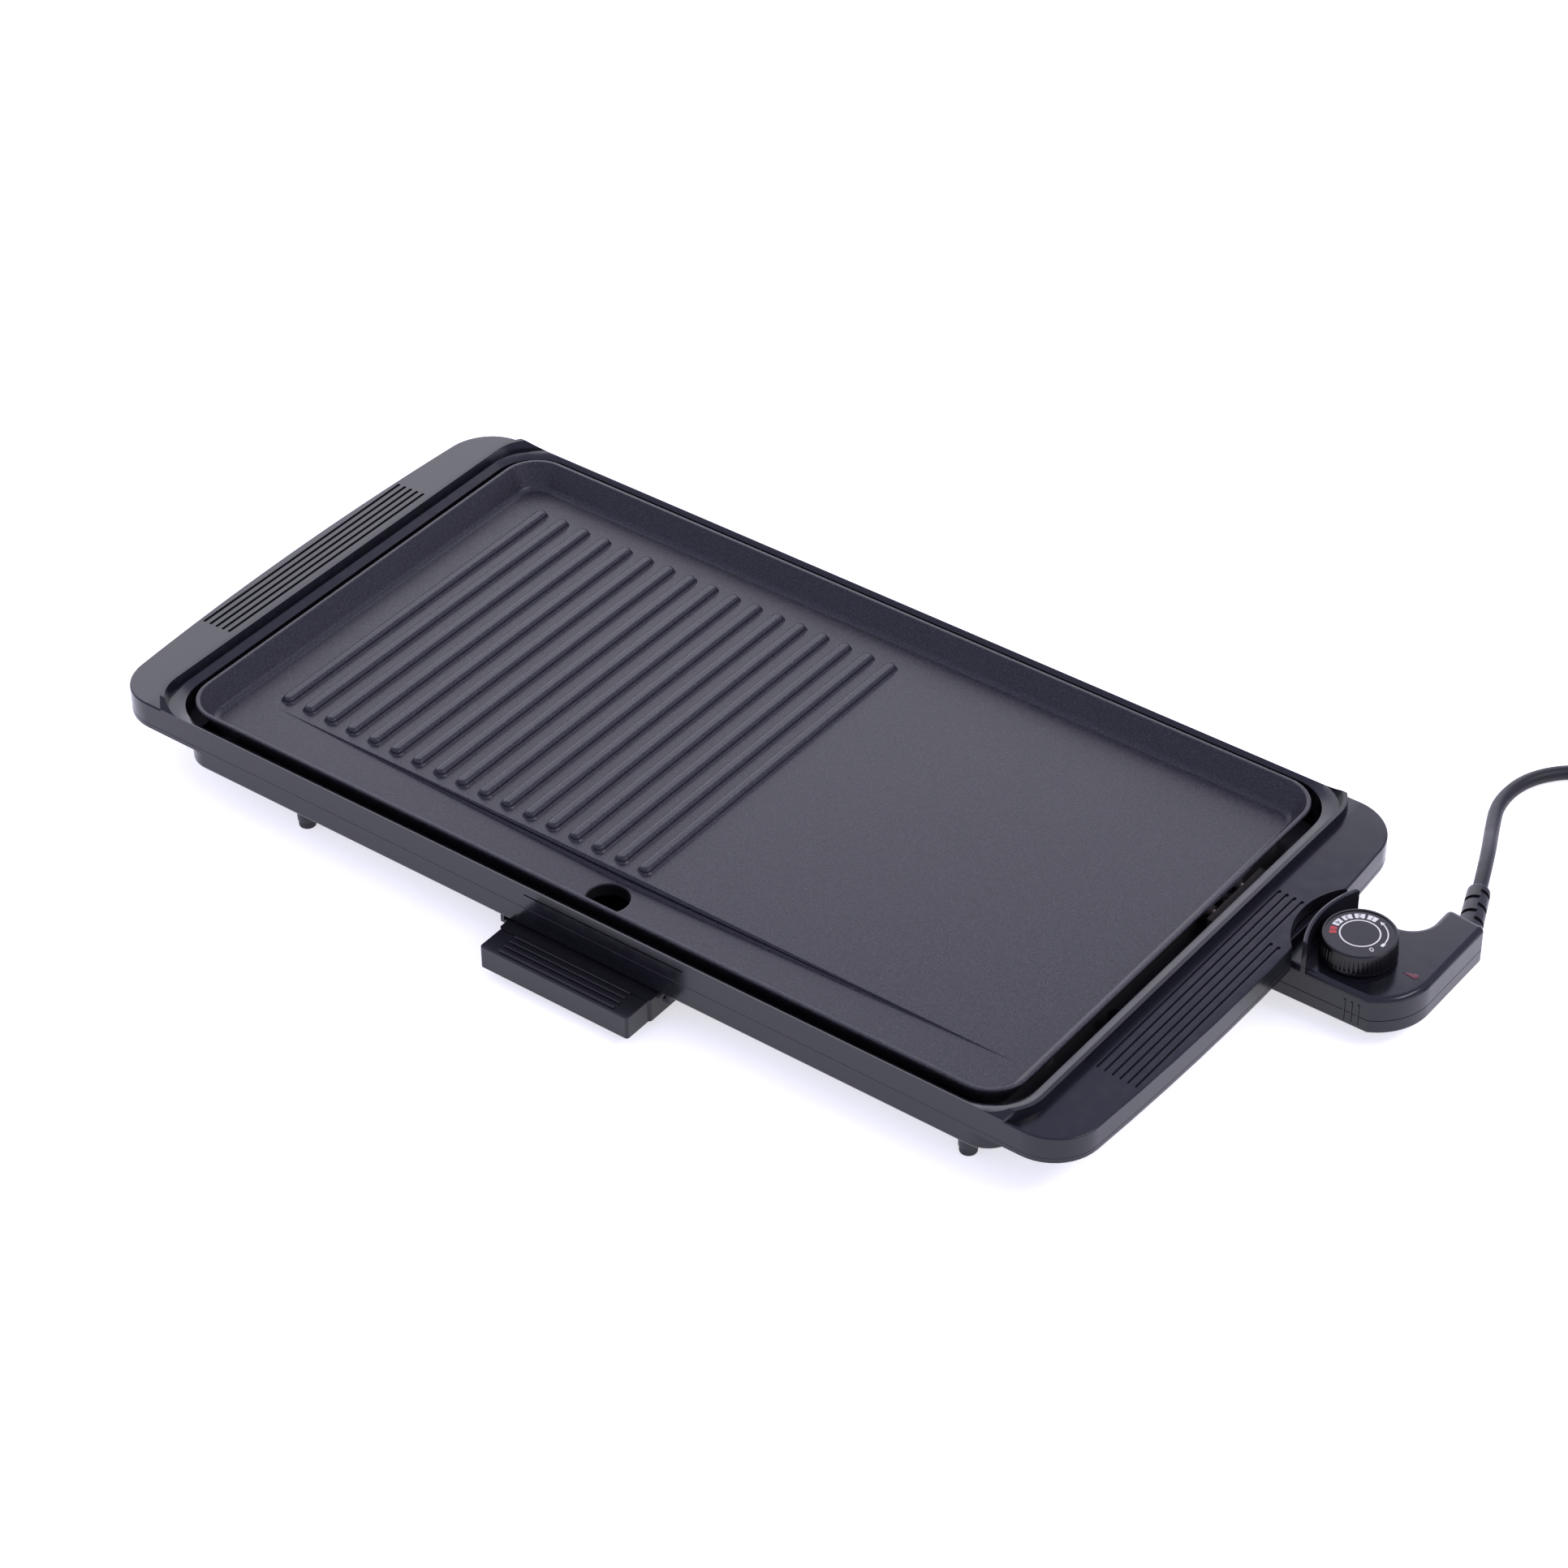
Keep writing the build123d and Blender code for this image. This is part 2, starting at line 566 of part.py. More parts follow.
def terminal_pins():
    pins = []
    for side in (-1, 1):
        y = socket_y + side * pin_spread
        pin = rod(pin_radius, (block_x - 6.5, y, pin_z), (guard_end_x - 1.5, y, pin_z))
        tip = [e for e in pin.edges() if e.geom_type == GeomType.CIRCLE and e.center().X > guard_end_x - 2]
        pins.append(fillet(tip, 1.0))
    return Compound(children=pins)


def terminal_block():
    half_y = guard_half_width + 3.5
    ceramic = block(block_x - 4.0, block_x, socket_y - half_y, socket_y + half_y, panel_top_z + fit_gap,
                    plate_under_z + 3.0)
    for side in (-1, 0, 1):
        radius = probe_radius + probe_clearance if side == 0 else pin_radius + 0.02
        ceramic = ceramic - rod(radius, (block_x - 5, socket_y + side * pin_spread, pin_z),
                                (block_x + 1, socket_y + side * pin_spread, pin_z))
    return ceramic


def terminal_guard():
    half_z = guard_height / 2
    y0, y1 = socket_y - guard_half_width, socket_y + guard_half_width
    sleeve = block(block_x, guard_end_x, y0, y1, pin_z - half_z, pin_z + half_z)
    sleeve = fillet([e for e in sleeve.edges() if e.length > guard_length - 1 and abs(e.tangent_at(0.5).X) > 0.9],
                    2.5)
    inner = block(block_x - 1, guard_end_x + 1, y0 + guard_wall, y1 - guard_wall, pin_z - half_z + guard_wall,
                  pin_z + half_z - guard_wall)
    inner = fillet([e for e in inner.edges() if abs(e.tangent_at(0.5).X) > 0.9], 1.7)
    return sleeve - inner


def heat_reflector():
    sheet = block(reflector_left_x, reflector_right_x, reflector_front_y, reflector_back_y, panel_top_z + 1.0,
                  panel_top_z + 1.6)
    return fillet([e for e in sheet.edges() if abs(e.tangent_at(0.5).Z) > 0.9], 8.0)


# ---------------------------------------------------------------- drip tray
def drip_tray():
    front = block(tray_left_x, tray_right_x, tray_front_y, rail_front_y - 8.0, tray_bottom, tray_top)
    front = fillet([e for e in front.edges() if abs(e.tangent_at(0.5).Z) > 0.9 and e.center().Y < tray_front_y + 1],
                   1.5)
    front = fillet([e for e in edges_at(front, tray_top) if e.center().Y < -wall_y - 4], 0.8)
    pan = block(tray_left_x - 1.0, tray_right_x + 1.0, rail_front_y - 8.0, tray_back_y, tray_bottom, tray_top)
    pan = fillet([e for e in pan.edges() if abs(e.tangent_at(0.5).Z) > 0.9], 2.0)
    flange = block(tray_left_x - 1.0 - tray_flange, tray_right_x + 1.0 + tray_flange, rail_front_y + 2.0,
                   tray_back_y, tray_top - tray_wall, tray_top)
    tray = front + pan + flange
    cover_y = -wall_y + 3.0
    well = block(tray_left_x + tray_wall - 1.0, tray_right_x - tray_wall + 1.0, cover_y, tray_back_y - tray_wall,
                 tray_bottom + tray_wall, tray_top + 1)
    tray = tray - fillet([e for e in well.edges() if abs(e.tangent_at(0.5).Z) > 0.9], 3.0)
    under = block(tray_left_x + 2, tray_right_x - 2, tray_front_y + 2, cover_y - 2, tray_bottom - 1, tray_top - 2)
    tray = tray - under
    for i in range(4):
        y = tray_front_y + 14.2 - 3.9 * i
        bar = Pos((tray_left_x + tray_right_x) / 2 + 0.3, y, tray_top - 0.2) * SlotOverall(68.5, tray_ridge_width)
        ridge = extrude(bar, amount=tray_ridge_height + 0.2, dir=(0, 0, 1))
        tray = tray + fillet(edges_at(ridge, tray_top + tray_ridge_height), 0.6)
    return tray


# ---------------------------------------------------------------- controller
def control_outline(grow=0.0):
    """Plan of the controller: nose end, round front corner, and the arm that runs to the back."""
    front_y = socket_y - control_half_width - grow
    outer_x = control_round_x + control_round + grow
    round_y = socket_y + 2.5
    radius = control_round + grow
    corner_x = control_round_x + sqrt(radius ** 2 - (round_y - front_y) ** 2)
    rear_x = nose_face_x + 3.0 - grow
    back_y = socket_y + control_half_width + grow
    angle = atan2(front_y - round_y, corner_x - control_round_x) / 2
    mid = (control_round_x + radius * cos(angle), round_y + radius * sin(angle))
    inner_x = arm_inner_x - grow
    turn = arm_inner_round - grow
    turn_x, turn_y = inner_x - turn, head_back_y + grow + turn
    points = [(rear_x, front_y), (corner_x, front_y), (outer_x, round_y), (outer_x, arm_end_y + grow),
              (inner_x, arm_end_y + 2.0 + grow), (inner_x, turn_y), (turn_x, head_back_y + grow),
              (head_back_x, head_back_y + grow), (head_back_x - 4.0, back_y), (rear_x, back_y)]
    edges = [Line(points[0], points[1]), ThreePointArc(points[1], mid, points[2])]
    edges += [Line(points[i], points[i + 1]) for i in (2, 3, 4)]
    elbow = (turn_x + turn * cos(radians(-45)), turn_y + turn * sin(radians(-45)))
    edges.append(ThreePointArc(points[5], elbow, points[6]))
    edges += [Line(points[i], points[(i + 1) % len(points)]) for i in (6, 7, 8, 9)]
    face = make_face(edges)
    return fillet([v for v in face.vertices() if v.Y > arm_end_y + grow - 0.1], arm_end_round + grow)


def control_prism(z0, z1, grow=0.0):
    return extrude(Pos(0, 0, z0) * control_outline(grow), amount=z1 - z0, dir=(0, 0, 1))


def nose_pocket(extra=0.0):
    """The space that the nose block fills, with a clearance."""
    return block(nose_face_x - extra, nose_back_x + extra, socket_y - nose_half_width - extra,
                 socket_y + nose_half_width + extra, nose_bottom_z - extra, nose_top_z + extra)


def relief_frame():
    """Origin at the arm's end face, +Z along the strain relief."""
    return Plane(origin=(relief_x, arm_end_y + 0.9, control_seam), z_dir=(relief_lean, 1.0, 0.0))


def controller_top_shell():
    shell = control_prism(control_seam, control_top)
    outer_edges = [e for e in edges_at(shell, control_top) if e.center().X > nose_face_x + 4]
    shell = fillet(outer_edges, control_edge)
    shell = shell - control_prism(control_seam - 1, control_top - control_wall, -control_wall)
    # hood over the nose block
    hood_z = nose_top_z + 1.4
    hood = block(nose_face_x + 3.0, nose_back_x + 2.0, socket_y - nose_half_width - 2.0,
                 socket_y + nose_half_width + 2.0, control_top - 3, hood_z)
    shell = shell + fillet(edges_at(hood, hood_z), 1.2)
    shell = shell - nose_pocket(0.1)
    # the curved fin between dial and griddle
    fin = upright(fin_radius, fin_x, socket_y, control_top - 3.0, fin_top)
    fin = fin - upright(fin_radius - fin_thickness, fin_x, socket_y, control_top - 4, fin_top + 1)
    fin = fin & block(fin_x - fin_radius - 1, fin_x - fin_radius / 2, socket_y - control_half_width,
                      socket_y + control_half_width - 1.6, 0, 100)
    fin = fillet(edges_at(fin, fin_top), 0.8)
    shell = shell + fin - nose_pocket(0.1)
    shell = shell - upright(shaft_radius + 0.3, dial_x, socket_y, control_top - 5, control_top + 1)
    shell = shell - extrude(lens_outline(0.05).moved(Pos(0, 0, control_top - 3)), amount=4, dir=(0, 0, 1))
    frame = relief_frame()
    shell = shell - rod(relief_base_radius + 0.1, tuple(frame.origin - frame.z_dir * relief_exit),
                        tuple(frame.origin + frame.z_dir * relief_exit))
    for x in grip_places:
        shell = shell + grip_line(x, control_seam, control_top - 6.0)
    return shell


def controller_bottom_shell():
    shell = control_prism(control_bottom, control_seam - 0.05)
    shell = fillet([e for e in edges_at(shell, control_bottom) if e.center().X > nose_face_x + 4], 1.2)
    shell = shell - control_prism(control_bottom + control_wall, control_seam + 1, -control_wall)
    groove = control_prism(control_seam - seam_groove, control_seam, 0.5)
    shell = shell - (groove - control_prism(control_seam - 1, control_seam + 1, -seam_groove))
    for x, y in shell_screw_places:
        shell = shell + upright(3.2, x, y, control_bottom + 1, control_seam - 0.05)
        shell = shell - upright(screw_radius + 0.05, x, y, control_bottom - 1, control_seam + 1)
        shell = shell - upright(screw_head_radius + 0.1, x, y, control_bottom - 1, control_bottom + 1.4)
    frame = relief_frame()
    shell = shell - rod(relief_base_radius + 0.1, tuple(frame.origin - frame.z_dir * relief_exit),
                        tuple(frame.origin + frame.z_dir * relief_exit))
    for x in grip_places:
        shell = shell + grip_line(x, control_bottom + 2.4, control_seam - 0.05)
    return shell


def grip_line(x, z0, z1):
    """One of the thin upright grip lines on the front wall."""
    y = socket_y - control_half_width
    return block(x - 0.5, x + 0.5, y - 0.4, y + 0.2, z0, z1)


def lens_outline(grow=0.0):
    """Teardrop: a point towards the dial and a round end."""
    radius = 1.7 + grow
    centre = (lens_x, lens_y)
    tip = (lens_x - lens_length - grow, lens_y - 0.8)
    reach = hypot(tip[0] - centre[0], tip[1] - centre[1])
    heading = atan2(tip[1] - centre[1], tip[0] - centre[0])
    opening = pi / 2 - atan(radius / sqrt(reach ** 2 - radius ** 2))
    a, b = heading - opening, heading + opening
    start = (centre[0] + radius * cos(a), centre[1] + radius * sin(a))
    end = (centre[0] + radius * cos(b), centre[1] + radius * sin(b))
    far = (centre[0] - radius * cos(heading), centre[1] - radius * sin(heading))
    return make_face([Line(tip, start), ThreePointArc(start, far, end), Line(end, tip)])


def indicator_lens():
    lens = extrude(lens_outline().moved(Pos(0, 0, control_top - control_wall)), amount=control_wall + 0.3,
                   dir=(0, 0, 1))
    return fillet(edges_at(lens, control_top + 0.3), 0.25)


def indicator_lamp():
    lamp = rod(2.0, (lens_x - 6, lens_y, control_top - 5.5), (lens_x + 3, lens_y, control_top - 5.5))
    leads = [rod(0.4, (lens_x - 11, lens_y + dy, control_top - 5.5), (lens_x - 6, lens_y + dy, control_top - 5.5))
             for dy in (-0.9, 0.9)]
    return lamp + leads[0] + leads[1]


def nose_block():
    inner_half_y = guard_half_width - guard_wall - nose_gap
    inner_half_z = guard_height / 2 - guard_wall - nose_gap
    tip = block(nose_tip_x, nose_face_x + 1, socket_y - inner_half_y, socket_y + inner_half_y,
                pin_z - inner_half_z, pin_z + inner_half_z)
    tip = fillet([e for e in tip.edges() if abs(e.tangent_at(0.5).X) > 0.9], 1.5)
    nose = tip + nose_pocket()
    for side in (-1, 1):
        y = socket_y + side * pin_spread
        nose = nose - rod(sleeve_radius + 0.05, (nose_tip_x + 1.5, y, pin_z), (nose_back_x + 1, y, pin_z))
        nose = nose - rod(pin_radius + 0.25, (nose_tip_x - 1, y, pin_z), (nose_tip_x + 2, y, pin_z))
    return nose - rod(probe_radius + 0.05, (nose_tip_x - 1, socket_y, pin_z), (nose_back_x + 1, socket_y, pin_z))


def contact_sleeves():
    sleeves = []
    for side in (-1, 1):
        y = socket_y + side * pin_spread
        sleeve = rod(sleeve_radius, (nose_tip_x + 1.6, y, pin_z), (nose_back_x - 0.2, y, pin_z))
        sleeves.append(sleeve - rod(pin_radius + 0.2, (nose_tip_x, y, pin_z), (guard_end_x + 2, y, pin_z)))
    return Compound(children=sleeves)


def temperature_probe():
    probe = rod(probe_radius, (probe_tip_x(), socket_y, pin_z), (nose_back_x - 0.2, socket_y, pin_z))
    tip = [e for e in probe.edges() if e.geom_type == GeomType.CIRCLE and e.center().X < probe_tip_x() + 1]
    return fillet(tip, probe_radius - 0.4)


def thermostat_switch():
    frame = block(dial_x - 16, dial_x + 11, socket_y - 9, socket_y + 9, control_bottom + control_wall,
                  control_bottom + control_wall + 1.2)
    stack = block(dial_x - 14, dial_x - 6, socket_y - 6, socket_y + 6, control_bottom + control_wall + 1.2,
                  control_bottom + control_wall + 7.5)
    blade = block(dial_x - 6, dial_x + 9, socket_y - 3, socket_y + 3, control_bottom + control_wall + 5.6,
                  control_bottom + control_wall + 6.2)
    return frame + stack + blade


def dial():
    """Knurled knob, a little wider at its foot, with a base ring and a shallow rim round its face."""
    low = control_top + dial_gap
    knob_z = low + 1.6
    knob = Pos(dial_x, socket_y, knob_z) * Cone(dial_radius, dial_face_radius, dial_top - knob_z,
                                                align=(Align.CENTER, Align.CENTER, Align.MIN))
    knob = fillet(edges_at(knob, dial_top), 0.8)
    for i in range(dial_ridges):
        a = 2 * pi * i / dial_ridges
        knob = knob - upright(0.6, dial_x + dial_radius * cos(a), socket_y + dial_radius * sin(a), knob_z + 1.4,
                              dial_top - 2.6)
    ring = upright(dial_base_radius, dial_x, socket_y, low, knob_z + 0.4)
    ring = fillet(edges_at(ring, low), 0.5)
    face = upright(dial_face_radius - dial_rim, dial_x, socket_y, dial_top - 0.4, dial_top + 1)
    return knob + ring - face - upright(shaft_radius, dial_x, socket_y, low - 1, dial_top - 3.0)


def dial_shaft():
    low = control_bottom + control_wall + 8.2
    shaft = upright(shaft_radius, dial_x, socket_y, low, dial_top - 3.0)
    return shaft + upright(6.5, dial_x, socket_y, low, low + 1.8)


def cord_clamp():
    middle_x = (arm_inner_x + control_round_x + control_round) / 2
    floor_z = control_bottom + control_wall
    bar = block(middle_x - 7, middle_x + 7, arm_end_y - 12, arm_end_y - 8, floor_z, floor_z + 3.0)
    for side in (-1, 1):
        bar = bar - upright(1.2, middle_x + side * 5.2, arm_end_y - 10, floor_z - 1, floor_z + 4.0)
    return bar


def shell_screws():
    return Compound(children=[pan_screw(x, y, control_bottom + 0.25, control_seam + 5.0) for x, y in
                              shell_screw_places])


def strain_relief():
    """Tapered rubber sleeve with three rings, each cut by short slots."""
    frame = relief_frame()
    sleeve = Plane(origin=frame.origin - frame.z_dir * 2, z_dir=frame.z_dir) * Cone(
        relief_base_radius, relief_tip_radius, relief_length + 2, align=(Align.CENTER, Align.CENTER, Align.MIN))
    sleeve = fillet([e for e in sleeve.edges() if e.geom_type == GeomType.CIRCLE
                     and e.radius < relief_tip_radius + 0.1], 1.8)
    for i in range(5):
        at = frame.origin + frame.z_dir * (9.0 + 5.2 * i)
        turn = 90.0 * (i % 2) - relief_turn
        slot = Plane(origin=at, x_dir=(0, 0, 1), z_dir=frame.z_dir) * Rot(0, 0, turn)
        for side in (-1, 1):
            low, high = sorted((side * relief_core, side * 8))
            sleeve = sleeve - slot * block(-8, 8, low, high, -relief_slot / 2, relief_slot / 2)
    return sleeve


# ---------------------------------------------------------------- mains cord and plug
relief_end = relief_frame().origin + relief_frame().z_dir * relief_length
turn_out = coil_radius + cord_radius * (coil_turns_wide - 1)      # outermost turn's centre line
top_turn_z = coil_height - cord_radius
lead_points = [tuple(relief_end), tuple(relief_end + relief_frame().z_dir * 28.0),
               (plate_half_x + 55.0, socket_y + 141.0, 8.0),
               (plate_half_x + 44.0, socket_y + 166.5, cord_radius + 0.25),
               (plate_half_x + 45.6, socket_y + 191.0, cord_radius),
               (plate_half_x + 60.0, socket_y + 210.5, cord_radius),
               (plate_half_x + 83.0, socket_y + 220.5, cord_radius),
               (plate_half_x + 111.0, socket_y + 224.2, cord_radius), (coil_x, coil_y + turn_out, cord_radius)]
plug_radius = 18.5
plug_tail = (coil_x + 46.0, coil_y - 64.55, plug_radius + 0.1)
plug_heading = (0.10, -1.0, 0.0)
plug_run = Vector(*plug_heading).normalized() * 21.0
tail_points = [(coil_x + turn_out, coil_y, top_turn_z), (coil_x + 43.2, coil_y - 21.55, 12.5),
               tuple(Vector(*plug_tail) - plug_run),
               plug_tail]
pin_length = 19.0
plug_length = 62.0


def cord_path(points):
    """Straight runs joined by arcs as large as the two runs beside each corner allow."""
    corners = [Vector(*p) for p in points]
    radii = []
    for before, here, after in zip(corners, corners[1:], corners[2:]):
        turn = radians((here - before).get_angle(after - here))
        run = min((here - before).length, (after - here).length)
        radii.append(0.45 * run / tan(turn / 2))
    print("cord radii", [round(r, 1) for r in radii])
    return FilletPolyline(*corners, radius=radii)


def cord_tube(points, name):
    path = cord_path(points)
    tube = sweep(Plane(origin=path @ 0, z_dir=path % 0) * Circle(cord_radius), path=path)
    expected = pi * cord_radius ** 2 * path.length
    print(name, "length", round(path.length, 1), "volume ratio", round(tube.volume / expected, 4))
    return tube


def cord_coil():
    ring = upright(coil_outer, coil_x, coil_y, 0, coil_height) - upright(coil_inner, coil_x, coil_y, 0, coil_height)
    return fillet(ring.edges().filter_by(GeomType.CIRCLE), 2.0)


def plug_frame():
    return Plane(origin=plug_tail, x_dir=(1.0, 0.10, 0.0), z_dir=plug_heading) * Rot(0, 0, 24)


def mains_plug():
    profile = Polyline((0, 0), (4.6, 0), (6.4, 20), (12.5, 24), (16.5, 29), (plug_radius, 35),
                       (plug_radius, plug_length), (0, plug_length), close=True)
    body = revolve(Plane.XZ * make_face(profile), axis=Axis.Z)
    body = fillet([e for e in body.edges() if e.geom_type == GeomType.CIRCLE and e.center().Z > plug_length - 0.1],
                  1.2)
    for side in (-1, 1):
        low, high = sorted((side * (plug_radius - 2.6), side * (plug_radius + 1)))
        body = body - block(-3.2, 3.2, low, high, 40, plug_length + 1)
    return plug_frame() * body


def plug_pins():
    pins = []
    for side in (-1, 1):
        pin = Pos(side * 9.5, 0, plug_length) * Cylinder(2.4, pin_length, align=(Align.CENTER, Align.CENTER, Align.MIN))
        pin = fillet([e for e in pin.edges() if e.center().Z > plug_length + 1 and e.geom_type == GeomType.CIRCLE],
                     1.8)
        pins.append(plug_frame() * pin)
    return Compound(children=pins)


def plug_earth_contacts():
    strips = []
    for side in (-1, 1):
        low, high = sorted((side * (plug_radius - 2.6), side * (plug_radius - 1.6)))
        strips.append(plug_frame() * block(-2.2, 2.2, low, high, 42, plug_length - 1))
    return Compound(children=strips)


# ---------------------------------------------------------------- write the nodes
BLACK = (0.05, 0.05, 0.06)
STEEL = (0.6, 0.6, 0.62)
NODES = {
    "housing": (housing, BLACK),
    "cooking_plate": (cooking_plate, (0.25, 0.25, 0.27)),
    "base_panel": (base_panel, (0.09, 0.09, 0.1)),
    "rubber_feet": (rubber_feet, (0.03, 0.03, 0.03)),
    "base_screws": (base_screws, STEEL),
    "plate_spacers": (plate_spacers, (0.75, 0.72, 0.65)),
    "plate_studs": (plate_studs, STEEL),
    "stud_nuts": (stud_nuts, STEEL),
    "heating_element": (heating_element, (0.45, 0.43, 0.42)),
    "terminal_pins": (terminal_pins, STEEL),
    "terminal_block": (terminal_block, (0.8, 0.78, 0.72)),
    "terminal_guard": (terminal_guard, STEEL),
    "heat_reflector": (heat_reflector, (0.75, 0.75, 0.77)),
    "drip_tray": (drip_tray, (0.1, 0.1, 0.11)),
    "controller_top_shell": (controller_top_shell, BLACK),
    "controller_bottom_shell": (controller_bottom_shell, BLACK),
    "nose_block": (nose_block, (0.2, 0.12, 0.08)),
    "contact_sleeves": (contact_sleeves, (0.8, 0.7, 0.4)),
    "temperature_probe": (temperature_probe, STEEL),
    "thermostat_switch": (thermostat_switch, STEEL),
    "thermostat_dial": (dial, (0.06, 0.06, 0.07)),
    "dial_shaft": (dial_shaft, STEEL),
    "indicator_lens": (indicator_lens, (0.7, 0.1, 0.1)),
    "indicator_lamp": (indicator_lamp, (0.9, 0.5, 0.3)),
    "cord_clamp": (cord_clamp, (0.3, 0.3, 0.3)),
    "controller_screws": (shell_screws, STEEL),
    "strain_relief": (strain_relief, (0.08, 0.08, 0.08)),
    "cord_lead": (lambda: cord_tube(lead_points, "cord_lead"), (0.12, 0.12, 0.12)),
    "cord_coil": (cord_coil, (0.12, 0.12, 0.12)),
    "cord_tail": (lambda: cord_tube(tail_points, "cord_tail"), (0.12, 0.12, 0.12)),
    "mains_plug": (mains_plug, (0.07, 0.07, 0.07)),
    "plug_pins": (plug_pins, STEEL),
    "plug_earth_contacts": (plug_earth_contacts, STEEL),
}

os.makedirs("parts", exist_ok=True)
for name, (maker, colour) in NODES.items():
    print(name, flush=True)
    save(maker(), name, colour)
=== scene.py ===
# %% [markdown]
# # An electric griddle, piece by piece
# A table-top griddle has a cast cooking plate in a glossy black plastic housing. A thermostat controller
# plugs in at the right, with a mains lead on it, and a small drip tray slides out at the front. The sizes
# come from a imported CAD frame, in metres, so every piece here goes where the frame says. This lesson adds the
# finishes, smooth copies of the mouldings, the printed dial and the lead.

# %% Load the frame
import json
from math import cos, pi, radians, sin

import bmesh
import bpy
from mathutils import Matrix, Vector


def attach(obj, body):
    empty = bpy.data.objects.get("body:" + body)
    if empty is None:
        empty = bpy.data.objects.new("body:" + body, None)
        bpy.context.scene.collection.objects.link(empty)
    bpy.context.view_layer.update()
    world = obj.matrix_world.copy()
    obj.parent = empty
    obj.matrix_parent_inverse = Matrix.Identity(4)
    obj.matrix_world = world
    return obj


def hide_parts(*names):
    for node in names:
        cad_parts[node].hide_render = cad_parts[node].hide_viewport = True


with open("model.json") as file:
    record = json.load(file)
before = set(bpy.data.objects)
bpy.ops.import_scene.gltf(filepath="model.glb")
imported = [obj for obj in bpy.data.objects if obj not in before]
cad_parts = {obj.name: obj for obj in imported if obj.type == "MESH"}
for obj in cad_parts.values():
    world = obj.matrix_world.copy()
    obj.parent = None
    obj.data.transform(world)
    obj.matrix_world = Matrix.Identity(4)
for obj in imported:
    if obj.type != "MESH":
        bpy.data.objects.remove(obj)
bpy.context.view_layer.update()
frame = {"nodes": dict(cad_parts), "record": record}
MM = 0.001

# %% [markdown]
# ## The camera
# The object is seen from its front right corner, from well above, with a long lens, so that parallel edges
# stay nearly parallel. The camera is placed on a sphere round a point on the cooking plate: an azimuth, an
# elevation and a distance are easier to read than three coordinates and three angles.

# %% Camera
AIM = Vector((0.03198, -0.01164, 0.047))
AZIMUTH = radians(36.925)
ELEVATION = radians(38.215)
DISTANCE = 2.17809
ROLL = radians(-0.297)
FOCAL_LENGTH = 105.465

towards = Vector((sin(AZIMUTH) * cos(ELEVATION), -cos(AZIMUTH) * cos(ELEVATION), sin(ELEVATION)))
camera = bpy.data.objects.new("camera", bpy.data.cameras.new("camera"))
camera.data.lens = FOCAL_LENGTH
camera.data.clip_end = 50
turn = (-towards).to_track_quat("-Z", "Y").to_matrix().to_4x4()
camera.matrix_world = Matrix.Translation(AIM + towards * DISTANCE) @ turn @ Matrix.Rotation(ROLL, 4, "Z")
bpy.context.scene.collection.objects.link(camera)
bpy.context.scene.camera = camera
print("camera at", [round(v, 3) for v in camera.matrix_world.translation])

# %% [markdown]
# ## The mains lead
# The lead leaves the strain relief level, bends down to the table, runs back in a loose curve and is wound
# into a neat round coil just outside the camera's view, with its plug beside it. It is one NURBS curve of
# order 3. Its free part is a short list of given points. The coil is a loop: the bottom layer winds
# inwards, the top layer winds back out, and each turn lies one diameter beside the last.

# %% Cord route
CORD_RADIUS = 3.6 * MM
RELIEF_START = Vector((334.6, 112.9, 18.5)) * MM
RELIEF_HEADING = Vector((-0.39, 1.0, 0.0)).normalized()
RELIEF_LENGTH = 35.5 * MM
relief_end = RELIEF_START + RELIEF_HEADING * RELIEF_LENGTH
lead_route = [relief_end, relief_end + RELIEF_HEADING * 28 * MM]
lead_route += [Vector(p) * MM for p in ((298, 201, 8), (287, 226.5, 3.85), (288.6, 251, 3.6),
                                        (303, 270.5, 3.6), (326, 280.5, 3.6), (354, 284.2, 3.6))]

COIL_CENTRE = Vector((384, 236.55, 0)) * MM
COIL_MIDDLE = 37 * MM
COIL_TURNS = 4.25
POINTS_PER_TURN = 16
RISE_TURNS = 0.25
turn_gap = 2 * CORD_RADIUS
outer_turn = COIL_MIDDLE + turn_gap
layer_turns = (COIL_TURNS - RISE_TURNS) / 2
coil_route = []
for i in range(int(COIL_TURNS * POINTS_PER_TURN) + 1):
    turns = i / POINTS_PER_TURN
    angle = pi / 2 - 2 * pi * turns
    inward = min(turns, layer_turns)
    outward = max(0.0, turns - layer_turns - RISE_TURNS)
    lift = min(1.0, max(0.0, (turns - layer_turns) / RISE_TURNS))
    radius = outer_turn - turn_gap * (inward - outward)
    height = CORD_RADIUS + turn_gap * lift
    coil_route.append(COIL_CENTRE + Vector((radius * cos(angle), radius * sin(angle), height)))

PLUG_TAIL = Vector((430.0, 172.0, 18.6)) * MM
PLUG_HEADING = Vector((0.10, -1.0, 0.0)).normalized()
tail_route = [Vector((427.2, 215.0, 12.5)) * MM, PLUG_TAIL - PLUG_HEADING * 21 * MM, PLUG_TAIL]
cord_route = lead_route + coil_route + tail_route


def nurbs_cord(name, route, bevel):
    """A round cord along one smooth NURBS line."""
    curve = bpy.data.curves.new(name, "CURVE")
    curve.dimensions = "3D"
    spline = curve.splines.new("NURBS")
    spline.points.add(len(route) - 1)
    for point, place in zip(spline.points, route):
        point.co = (*place, 1.0)
    spline.order_u = 3
    spline.use_endpoint_u = True
    spline.resolution_u = 6
    curve.bevel_depth = bevel
    curve.bevel_resolution = 6
    curve.use_fill_caps = True
    cord = bpy.data.objects.new(name, curve)
    bpy.context.scene.collection.objects.link(cord)
    return cord


